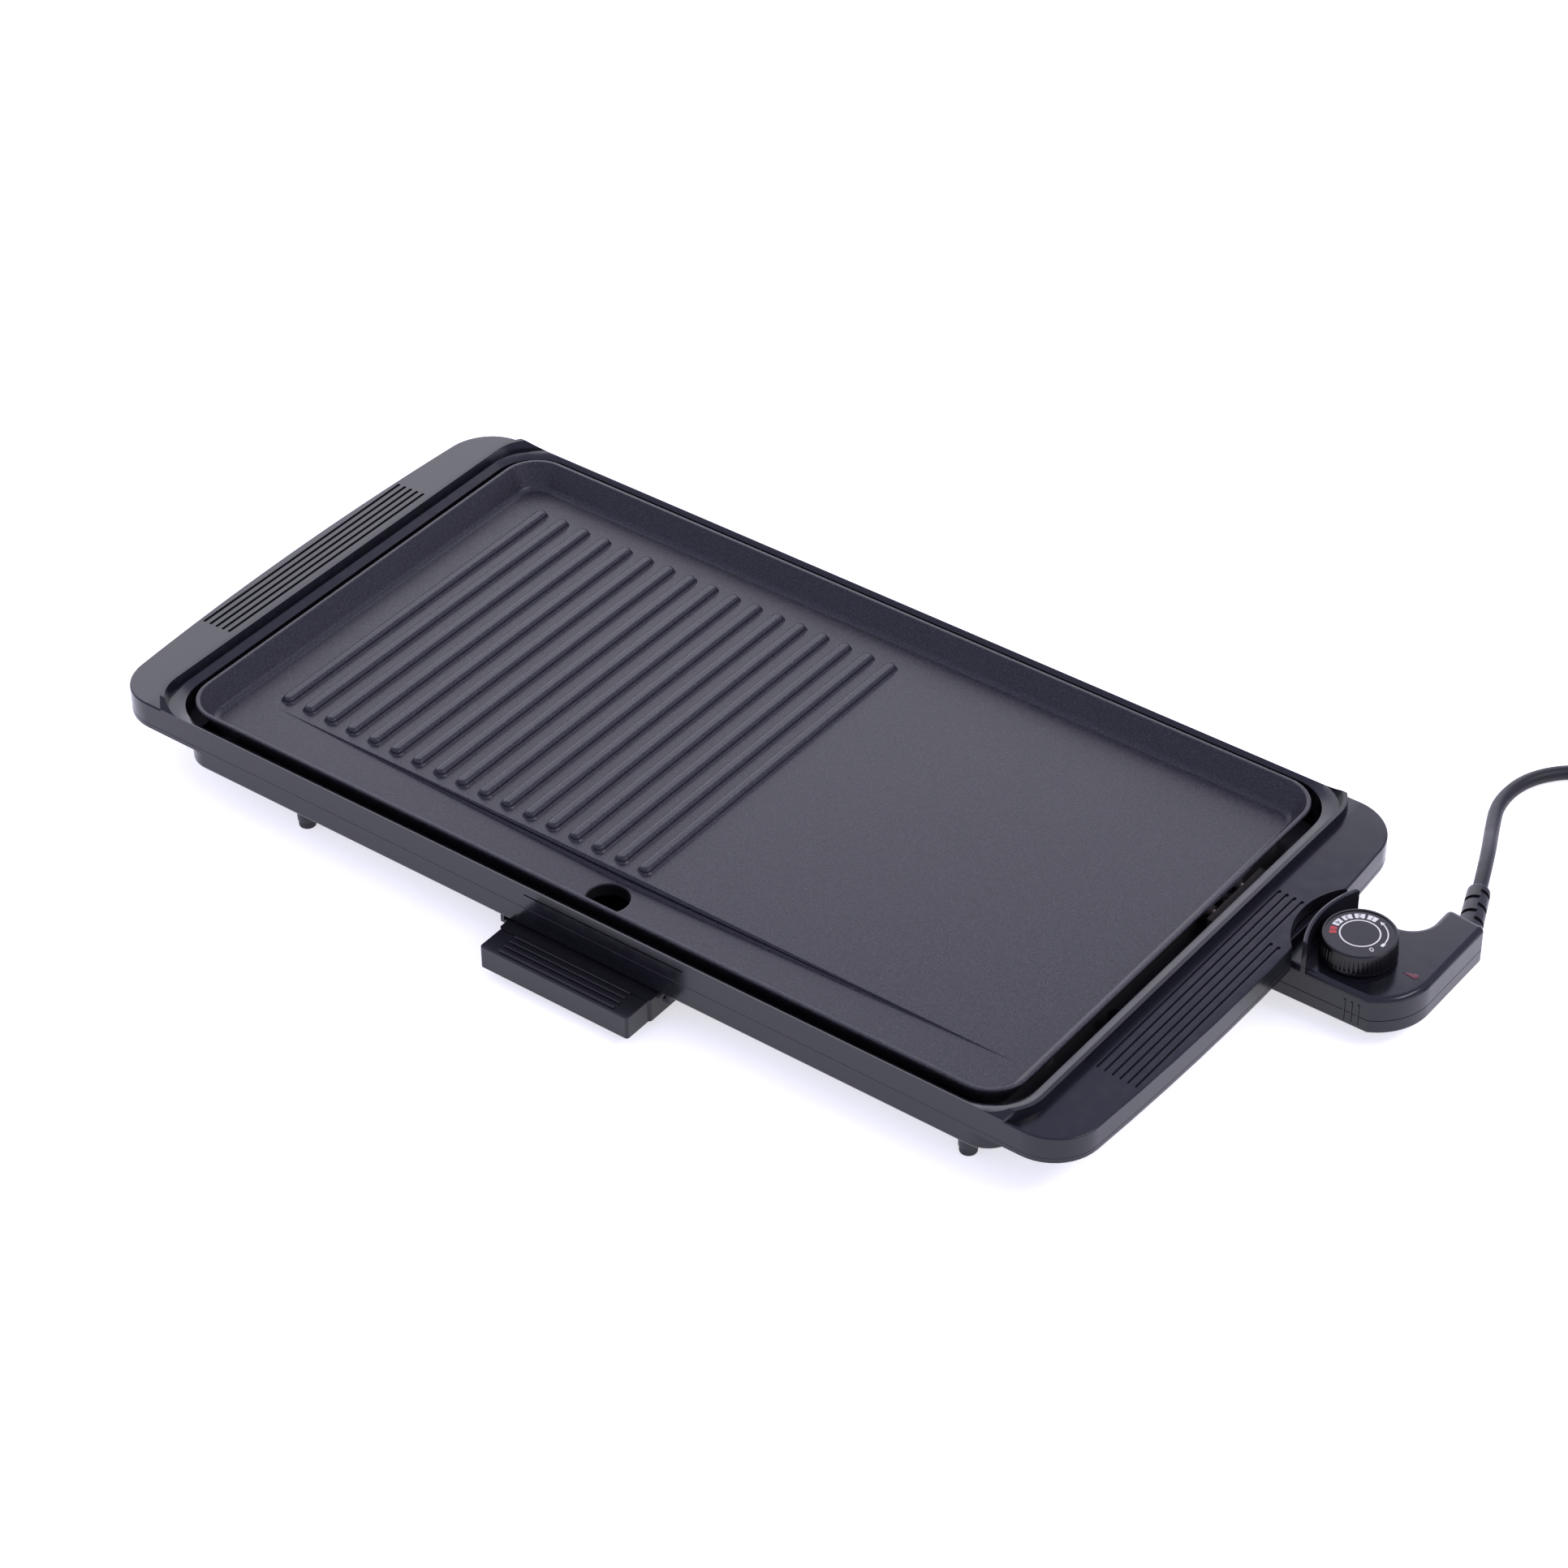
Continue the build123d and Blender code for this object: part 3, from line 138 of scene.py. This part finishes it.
mains_lead = nurbs_cord("mains_lead", cord_route, CORD_RADIUS)
cord_length = sum((b - a).length for a, b in zip(cord_route, cord_route[1:]))
print("cord:", len(cord_route), "points,", round(cord_length, 3), "m along its corners")

# %% [markdown]
# ## Sums on sockets
# A material is a graph of nodes, and a long graph is hard to read as links. The small class below wraps an
# output socket, so that `1 - mask * 0.3` adds the Math nodes by itself. One method makes every other node.


# %% Node helpers
HEIGHT_SPAN = 50 * MM       # a height of 1 in a ramp


class Wire:
    """An output socket that takes part in sums."""

    def __init__(self, finish, socket):
        self.finish = finish
        self.socket = socket

    def maths(self, operation, first, second):
        return self.finish.node("ShaderNodeMath", {"operation": operation}, {0: first, 1: second})

    def __add__(self, other):
        return self.maths("ADD", self, other)

    __radd__ = __add__

    def __mul__(self, other):
        return self.maths("MULTIPLY", self, other)

    __rmul__ = __mul__

    def __sub__(self, other):
        return self.maths("SUBTRACT", self, other)

    def __rsub__(self, other):
        return self.maths("SUBTRACT", other, self)


class Finish:
    """One material, built node by node round a Principled shader."""

    def __init__(self, name, colour, roughness, more=None):
        self.material = bpy.data.materials.new(name)
        self.material.use_nodes = True
        self.tree = self.material.node_tree
        self.tree.nodes.clear()
        output = self.tree.nodes.new("ShaderNodeOutputMaterial")
        self.shader = self.tree.nodes.new("ShaderNodeBsdfPrincipled")
        self.tree.links.new(self.shader.outputs[0], output.inputs["Surface"])
        self.give("Base Color", colour)
        self.give("Roughness", roughness)
        for socket, value in (more or {}).items():
            self.give(socket, value)
        self.place = None

    def give(self, socket, value):
        """Sets or links one of the shader's sockets."""
        target = self.shader.inputs[socket]
        if isinstance(value, Wire):
            self.tree.links.new(value.socket, target)
        else:
            target.default_value = (*value, 1.0) if isinstance(value, tuple) and len(value) == 3 else value

    def node(self, kind, settings, values, output=0):
        """Adds a node: its settings first, then its sockets' values or links. Returns one of its outputs."""
        made = self.tree.nodes.new(kind)
        for key, setting in settings.items():
            if key == "stops":
                ramp = made.color_ramp
                while len(ramp.elements) < len(setting):
                    ramp.elements.new(0.5)
                for element, (position, shade) in zip(ramp.elements, setting):
                    element.position = position
                    element.color = (shade, shade, shade, 1.0)
            else:
                setattr(made, key, setting)
        for key, value in values.items():
            if isinstance(value, Wire):
                self.tree.links.new(value.socket, made.inputs[key])
            else:
                made.inputs[key].default_value = value
        return Wire(self, made.outputs[output])

    def object_place(self):
        """The point on the piece in the frame's own metres."""
        if self.place is None:
            self.place = self.node("ShaderNodeTexCoord", {}, {}, "Object")
        return self.place

    def height(self):
        """How high a point of the piece is above the table, as a share of HEIGHT_SPAN."""
        level = self.node("ShaderNodeSeparateXYZ", {}, {"Vector": self.object_place()}, 2)
        return level * (1.0 / HEIGHT_SPAN)

    def noise(self, size, detail=2.0, stretch=(1.0, 1.0, 1.0), place=None):
        """Smooth noise whose features are about size metres."""
        where = place or self.object_place()
        if stretch != (1.0, 1.0, 1.0):
            where = self.node("ShaderNodeMapping", {}, {"Vector": where, "Scale": stretch})
        return self.node("ShaderNodeTexNoise", {}, {"Vector": where, "Scale": 1.0 / size, "Detail": detail})

    def ramp(self, value, *stops):
        """Reshapes a number: pairs of position and result."""
        return self.node("ShaderNodeValToRGB", {"stops": stops}, {"Fac": value})

    def mix(self, factor, first, second):
        """Blends two colours."""
        shades = [(*c, 1.0) if isinstance(c, tuple) else c for c in (first, second)]
        sockets = {"Factor": factor, 6: shades[0], 7: shades[1]}
        return self.node("ShaderNodeMix", {"data_type": "RGBA"}, sockets, 2)

    def bump(self, height, depth, strength=1.0):
        """Feeds a height in 0..1 to the shader's normal. depth is in metres."""
        self.give("Normal", self.node("ShaderNodeBump", {}, {"Height": height, "Distance": depth,
                                                              "Strength": strength}))


# %% [markdown]
# ## The finishes
# Four things make these black plastics and metals read as real: a base colour that isn't quite black, a
# roughness that changes a little over the surface, a bump of the right scale, and bright surroundings to
# reflect. Each finish below is one short function.

# %% Plastics
SHELF_HEIGHT = 32.0 * MM    # the housing's shelf under the plate, dulled to keep the gap above it dark
PAINTED_SHADE_TOP = 29.9 * MM      # painted shade: below this height the coating's colour fades to near black, standing in for the shade low in the plate, as in the drain hole
PAINTED_SHADE_BOTTOM = 28.75 * MM


def gloss_plastic():
    """Injection-moulded, polished tool: nearly black, with the faint waviness that moulding leaves."""
    finish = Finish("gloss_black_plastic", (0.006, 0.006, 0.008), 0.2, {"IOR": 1.42})
    waves = finish.noise(0.022, 2.0)
    haze = finish.noise(0.006, 4.0)
    band = [((SHELF_HEIGHT + step * MM) / HEIGHT_SPAN, dull) for step, dull in ((-0.3, 0.0), (-0.1, 1.0),
                                                                                (0.1, 1.0), (0.3, 0.0))]
    dull_shelf = finish.ramp(finish.height(), *band)
    finish.give("Roughness", 0.17 + finish.ramp(haze, (0.35, 0.0), (0.75, 1.0)) * 0.07 + dull_shelf * 0.7)
    finish.give("Base Color", finish.mix(haze, (0.005, 0.005, 0.007), (0.008, 0.008, 0.010)))
    finish.bump(waves, 0.00012, 0.35)
    return finish


def satin_plastic(name, shade, roughness):
    """Spark-textured plastic: a fine grain and no mirror reflections."""
    finish = Finish(name, (shade, shade, shade), roughness, {"IOR": 1.4})
    grain = finish.noise(0.0007, 3.0)
    patches = finish.noise(0.012, 3.0)
    finish.give("Roughness", roughness - 0.05 + patches * 0.1)
    finish.give("Base Color", finish.mix(patches, (shade * 0.85,) * 2 + (shade * 0.9,),
                                         (shade * 1.15,) * 2 + (shade * 1.25,)))
    finish.bump(grain, 0.00005, 0.5)
    return finish


def nonstick_coating():
    """Sprayed non-stick coating: charcoal with paler specks, and orange peel under it."""
    finish = Finish("nonstick_coating", (0.03, 0.03, 0.033), 0.4, {"IOR": 1.38})
    fine = finish.noise(0.00055, 3.0)
    coarse = finish.noise(0.0014, 3.0)
    patches = finish.noise(0.05, 2.0)
    specks = finish.ramp(fine, (0.48, 0.0), (0.72, 1.0))
    tone = finish.ramp(coarse, (0.3, 0.0), (0.75, 1.0))
    base = finish.mix(tone, (0.010, 0.010, 0.012), (0.020, 0.020, 0.024))
    speckled = finish.mix(specks, base, (0.058, 0.056, 0.054))
    # painted shade: this mask darkens the coating to near black low in the plate, where shade falls in the
    # drain hole and the gap round it, and makes it rougher there
    painted_shade = finish.ramp(finish.height(), (PAINTED_SHADE_BOTTOM / HEIGHT_SPAN, 1.0), (PAINTED_SHADE_TOP / HEIGHT_SPAN, 0.0))
    finish.give("Base Color", finish.mix(painted_shade, speckled, (0.002, 0.002, 0.002)))
    finish.give("Roughness", 0.25 + tone * 0.10 + patches * 0.05 + painted_shade * 0.4)
    finish.bump(fine * 0.8 + coarse * 0.2, 0.00013, 0.6)
    return finish


def moulded_rubber(name, shade, roughness, grain_size=0.0009):
    """Cord jacket, plug and feet: soft, slightly dusty rubber."""
    finish = Finish(name, (shade, shade, shade), roughness, {"IOR": 1.4})
    grain = finish.noise(grain_size, 3.0)
    dust = finish.ramp(finish.noise(0.009, 4.0), (0.45, 0.0), (0.8, 1.0))
    dusty = (shade * 1.7, shade * 1.7, shade * 1.75)
    finish.give("Base Color", finish.mix(dust, (shade, shade, shade * 1.08), dusty))
    finish.give("Roughness", roughness + dust * 0.12)
    finish.bump(grain, 0.00006, 0.5)
    return finish


# %% Metals, ceramic and lens
def worked_metal(name, colour, roughness, stretch=(1.0, 1.0, 12.0)):
    """Drawn, plated or rolled metal: fine scratches along one direction and faint stains."""
    finish = Finish(name, colour, roughness, {"Metallic": 1.0})
    scratches = finish.noise(0.0016, 3.0, stretch)
    stains = finish.noise(0.010, 3.0)
    finish.give("Roughness", roughness - 0.06 + scratches * 0.12 + stains * 0.05)
    darker = tuple(0.82 * c for c in colour)
    finish.give("Base Color", finish.mix(stains, darker, colour))
    finish.bump(scratches, 0.00003, 0.4)
    return finish


def fired_ceramic():
    """Brown-grey fired clay, matt and darkened by heat, with small inclusions."""
    finish = Finish("fired_ceramic", (0.08, 0.07, 0.06), 0.7)
    grain = finish.noise(0.0012, 4.0)
    dots = finish.ramp(finish.noise(0.0008, 1.0), (0.66, 0.0), (0.74, 1.0))
    base = finish.mix(grain, (0.055, 0.048, 0.042), (0.085, 0.075, 0.066))
    finish.give("Base Color", finish.mix(dots, base, (0.03, 0.026, 0.022)))
    finish.bump(grain, 0.00005, 0.5)
    return finish


def red_lens():
    """Translucent red plastic over a lamp that is off."""
    finish = Finish("red_lens", (0.14, 0.02, 0.026), 0.15, {"IOR": 1.49, "Transmission Weight": 0.15})
    cloud = finish.noise(0.002, 2.0)
    finish.give("Base Color", finish.mix(cloud, (0.10, 0.014, 0.018), (0.18, 0.032, 0.038)))
    return finish


def lamp_glass():
    """The neon lamp under the lens."""
    finish = Finish("lamp_glass", (0.9, 0.6, 0.45), 0.05, {"IOR": 1.5, "Transmission Weight": 0.8})
    finish.give("Roughness", 0.04 + finish.noise(0.002) * 0.05)
    return finish


def printed_ink(name, colour):
    """Screen-printed marks: matt, with a slightly uneven film."""
    finish = Finish(name, colour, 0.5)
    film = finish.noise(0.0005, 3.0)
    thin = tuple(0.86 * c for c in colour)
    finish.give("Base Color", finish.mix(film, thin, colour))
    finish.give("Roughness", 0.42 + film * 0.12)
    return finish


FINISHES = {
    "gloss_black_plastic": gloss_plastic(),
    "nonstick_aluminium": nonstick_coating(),
    "base_plastic": satin_plastic("base_plastic", 0.028, 0.5),
    "tray_plastic": satin_plastic("tray_plastic", 0.011, 0.30),
    "dial_plastic": satin_plastic("dial_plastic", 0.0035, 0.24),
    "heat_resistant_plastic": satin_plastic("heat_resistant_plastic", 0.05, 0.45),
    "rubber_feet": moulded_rubber("foot_rubber", 0.022, 0.62),
    "relief_rubber": moulded_rubber("relief_rubber", 0.010, 0.36),
    "cord_jacket": moulded_rubber("cord_jacket", 0.008, 0.46),
    "plug_rubber": moulded_rubber("plug_rubber", 0.024, 0.45),
    "zinc_steel": worked_metal("zinc_steel", (0.62, 0.62, 0.64), 0.34),
    "element_steel": worked_metal("element_steel", (0.36, 0.33, 0.31), 0.45),
    "nickel_pins": worked_metal("nickel_pins", (0.72, 0.70, 0.66), 0.2),
    "guard_steel": worked_metal("guard_steel", (0.62, 0.62, 0.63), 0.3),
    "probe_steel": worked_metal("probe_steel", (0.66, 0.66, 0.67), 0.25),
    "switch_steel": worked_metal("switch_steel", (0.60, 0.60, 0.60), 0.35),
    "reflector_aluminium": worked_metal("reflector_aluminium", (0.78, 0.78, 0.80), 0.3, (1.0, 12.0, 1.0)),
    "brass_contacts": worked_metal("brass_contacts", (0.78, 0.60, 0.30), 0.28),
    "ceramic": fired_ceramic(),
    "red_lens": red_lens(),
    "neon_lamp": lamp_glass(),
}
white_ink = printed_ink("white_ink", (0.74, 0.73, 0.62))
red_ink = printed_ink("red_ink", (0.50, 0.02, 0.025))
black_ink = printed_ink("black_ink", (0.014, 0.014, 0.015))
print("finishes:", len(FINISHES) + 3)

# %% [markdown]
# ## Smooth copies of the mouldings
# The frame's meshes are loose flat triangles, so a round edge shades as facets. A copy is merged into one
# skin, shaded smooth except across sharp edges, and given normals weighted by face area, so that a large flat
# face stays flat right up to its rounded edge. The copy then stands for the node.

# %% Smooth copy helper
node_body = {node: body for body, nodes in frame["record"]["behaviour"]["bodies"].items() for node in nodes}
node_slot = {part["node"]: part["material_slot"] for part in frame["record"]["subparts"]}


def link(name, mesh):
    """A new object at the origin for a finished mesh."""
    piece = bpy.data.objects.new(name, mesh)
    bpy.context.scene.collection.objects.link(piece)
    return piece


def dress(piece, finish, body):
    """Gives a piece its finish and its body."""
    piece.data.materials.clear()
    piece.data.materials.append(finish.material)
    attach(piece, body)
    return piece


def smooth_copy(node, sharp_angle=35.0):
    """A merged, smoothly shaded copy of a node's mesh, which replaces it."""
    shape = bmesh.new()
    shape.from_mesh(frame["nodes"][node].data)
    bmesh.ops.remove_doubles(shape, verts=shape.verts, dist=0.002 * MM)
    bmesh.ops.dissolve_degenerate(shape, edges=shape.edges, dist=0.001 * MM)
    for face in shape.faces:
        face.smooth = True
    for edge in shape.edges:
        edge.smooth = not (len(edge.link_faces) == 2 and edge.calc_face_angle(0.0) > radians(sharp_angle))
    mesh = bpy.data.meshes.new(node + "_skin")
    shape.to_mesh(mesh)
    shape.free()
    piece = link(node + "_skin", mesh)
    even = piece.modifiers.new("even normals", "WEIGHTED_NORMAL")
    even.mode = "FACE_AREA"
    even.weight = 60
    even.keep_sharp = True
    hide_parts(node)
    return dress(piece, FINISHES[node_slot[node]], node_body[node])


SMOOTH_NODES = ["housing", "cooking_plate", "drip_tray", "controller_top_shell", "controller_bottom_shell",
                "base_panel", "rubber_feet", "terminal_guard", "nose_block", "temperature_probe",
                "indicator_lens", "strain_relief", "mains_plug", "plug_pins", "thermostat_dial",
                "heating_element"]
skins = {node: smooth_copy(node) for node in SMOOTH_NODES}
for node, cad_object in frame["nodes"].items():
    if node not in skins:
        cad_object.data.materials.clear()
        cad_object.data.materials.append(FINISHES[node_slot[node]].material)
print("smooth copies:", len(skins))

# %% Dress the lead
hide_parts("cord_lead", "cord_coil", "cord_tail")
dress(mains_lead, FINISHES["cord_jacket"], "controller")

# %% [markdown]
# ## The printed dial
# The dial's face carries five numbered tiles for the heat settings, the last one red, a nought for off, an
# arrow that shows which way is hotter and a plain ring. Each mark is a flat sheet of ink, 0.05 mm above the
# face. Angles are counted round the dial from +X.

# %% Dial marks
DIAL_CENTRE = Vector((306.5, 60.0)) * MM
FACE_HEIGHT = 43.3 * MM
INK_LIFT = 0.05 * MM
TILE_ANGLES = [94.0, 121.5, 149.0, 176.5, 204.0]
TILE_INNER, TILE_OUTER, TILE_SPAN = 10.8 * MM, 14.0 * MM, 21.7
DIGIT_HEIGHT = 2.9 * MM
FONT_PER_DIGIT = 1.4        # font size over the height of its digits
TRIANGLE_HALF_WIDTH, TRIANGLE_LENGTH = 0.866, 1.5    # of a three-sided circle with a radius of 1


def polar(radius, angle):
    """A flat offset at an angle in degrees."""
    return radius * cos(radians(angle)), radius * sin(radians(angle)), 0.0


def ring_piece(name, inner, outer, start, end, lift):
    """A flat piece of a ring between two angles, swept round the dial's axis from one straight line."""
    shape = bmesh.new()
    line = [shape.verts.new(polar(radius, start)) for radius in (inner, outer)]
    edge = shape.edges.new(line)
    steps = max(2, int(abs(end - start) / 3))
    bmesh.ops.spin(shape, geom=[*line, edge], cent=(0, 0, 0), axis=(0, 0, 1), dvec=(0, 0, 0),
                   angle=radians(end - start), steps=steps, use_merge=abs(end - start) > 359.9)
    return laid_mark(name, shape, lift)


def laid_mark(name, shape, lift):
    """Turns a flat mark face up and puts it on the dial."""
    bmesh.ops.recalc_face_normals(shape, faces=shape.faces)
    for face in shape.faces:
        if face.normal.z < 0:
            face.normal_flip()
    bmesh.ops.translate(shape, verts=shape.verts, vec=(*DIAL_CENTRE, FACE_HEIGHT + lift))
    mesh = bpy.data.meshes.new(name)
    shape.to_mesh(mesh)
    shape.free()
    return link(name, mesh)


def digit(name, text, angle, radius, lift):
    """One digit whose top points at the dial's centre."""
    curve = bpy.data.curves.new(name + "_outline", "FONT")
    curve.body = text
    curve.size = DIGIT_HEIGHT * FONT_PER_DIGIT
    curve.align_x = "CENTER"
    curve.align_y = "CENTER"
    outline = bpy.data.objects.new(name + "_outline", curve)
    bpy.context.scene.collection.objects.link(outline)
    shape = bmesh.new()
    shape.from_mesh(outline.to_mesh())
    outline.to_mesh_clear()
    bpy.data.objects.remove(outline)
    upright = Matrix.Rotation(radians(angle + 90), 3, "Z")
    bmesh.ops.rotate(shape, verts=shape.verts, cent=(0, 0, 0), matrix=upright)
    bmesh.ops.translate(shape, verts=shape.verts, vec=polar(radius, angle))
    return laid_mark(name, shape, lift)


def arrow_head(name, angle, radius, length, half_width):
    """A triangle that points along the ring."""
    shape = bmesh.new()
    bmesh.ops.create_circle(shape, cap_ends=True, segments=3, radius=1.0)
    size = (half_width / TRIANGLE_HALF_WIDTH, length / TRIANGLE_LENGTH, 1.0)
    bmesh.ops.scale(shape, verts=shape.verts, vec=size)
    bmesh.ops.rotate(shape, verts=shape.verts, cent=(0, 0, 0), matrix=Matrix.Rotation(radians(angle), 3, "Z"))
    bmesh.ops.translate(shape, verts=shape.verts, vec=polar(radius, angle))
    return laid_mark(name, shape, INK_LIFT)


marks = []
for number, angle in enumerate(TILE_ANGLES, 1):
    tile = ring_piece(f"dial_tile_{number}", TILE_INNER, TILE_OUTER, angle - TILE_SPAN / 2,
                      angle + TILE_SPAN / 2, INK_LIFT)
    marks.append((tile, red_ink if number == 5 else white_ink))
    figure = digit(f"dial_digit_{number}", str(number), angle, (TILE_INNER + TILE_OUTER) / 2, 2 * INK_LIFT)
    marks.append((figure, black_ink))
marks.append((digit("dial_digit_0", "0", -34.0, 12.4 * MM, INK_LIFT), white_ink))
marks.append((ring_piece("dial_ring", 8.95 * MM, 9.65 * MM, 0, 360, INK_LIFT), white_ink))
marks.append((ring_piece("dial_arrow_line", 12.5 * MM, 13.1 * MM, 0, 66, INK_LIFT), white_ink))
marks.append((ring_piece("dial_arrow_tail", 12.0 * MM, 13.6 * MM, -10, 0, INK_LIFT), white_ink))
marks.append((arrow_head("dial_arrow_head", 69.0, 12.8 * MM, 2.4 * MM, 1.1 * MM), white_ink))
for mark, ink in marks:
    dress(mark, ink, "dial")
print("dial marks:", len(marks))

# %% [markdown]
# ## Floor and light
# The griddle stands on flat white paper in a bright studio. Almost everything that a black gloss surface
# shows is a reflection, so the bright world is the main light. A large soft panel behind gives the mouldings
# their shape, and a narrow one at the right lights the handle. The paper also glows a little, which keeps it
# white and nearly free of shadow.

# %% Studio
FLOOR_HALF_SIZE = 6.0
PAPER_GLOW = 0.6
SKY_COLOUR = (1.0, 0.98, 1.5, 1.0)
SKY_STRENGTH = 0.75
floor_mesh = bmesh.new()
bmesh.ops.create_grid(floor_mesh, x_segments=1, y_segments=1, size=FLOOR_HALF_SIZE)
floor_data = bpy.data.meshes.new("studio_floor")
floor_mesh.to_mesh(floor_data)
floor_mesh.free()
floor = link("studio_floor", floor_data)
paper = Finish("studio_paper", (0.95, 0.95, 0.95), 0.9,
               {"Emission Color": (1.0, 1.0, 1.0, 1.0), "Emission Strength": PAPER_GLOW})
floor.data.materials.append(paper.material)

world = bpy.data.worlds.new("studio")
bpy.context.scene.world = world
world.use_nodes = True
sky = world.node_tree.nodes["Background"]
sky.inputs["Color"].default_value = SKY_COLOUR
sky.inputs["Strength"].default_value = SKY_STRENGTH


def soft_panel(name, place, aim, width, height, power):
    """A rectangular soft light that faces a point."""
    panel = bpy.data.objects.new(name, bpy.data.lights.new(name, "AREA"))
    panel.data.shape = "RECTANGLE"
    panel.data.size = width
    panel.data.size_y = height
    panel.data.energy = power
    heading = Vector(aim) - Vector(place)
    panel.matrix_world = Matrix.Translation(place) @ heading.to_track_quat("-Z", "Y").to_matrix().to_4x4()
    bpy.context.scene.collection.objects.link(panel)
    return panel


soft_panel("back_panel", (-1.0, 1.25, 0.75), (0, 0, 0), 2.6, 1.2, 18)
soft_panel("side_panel", (1.5, 0.4, 1.6), (0.2, 0, 0), 1.2, 0.35, 12)
bpy.context.scene.view_settings.view_transform = "Standard"
print("studio: floor, world and 2 panels")
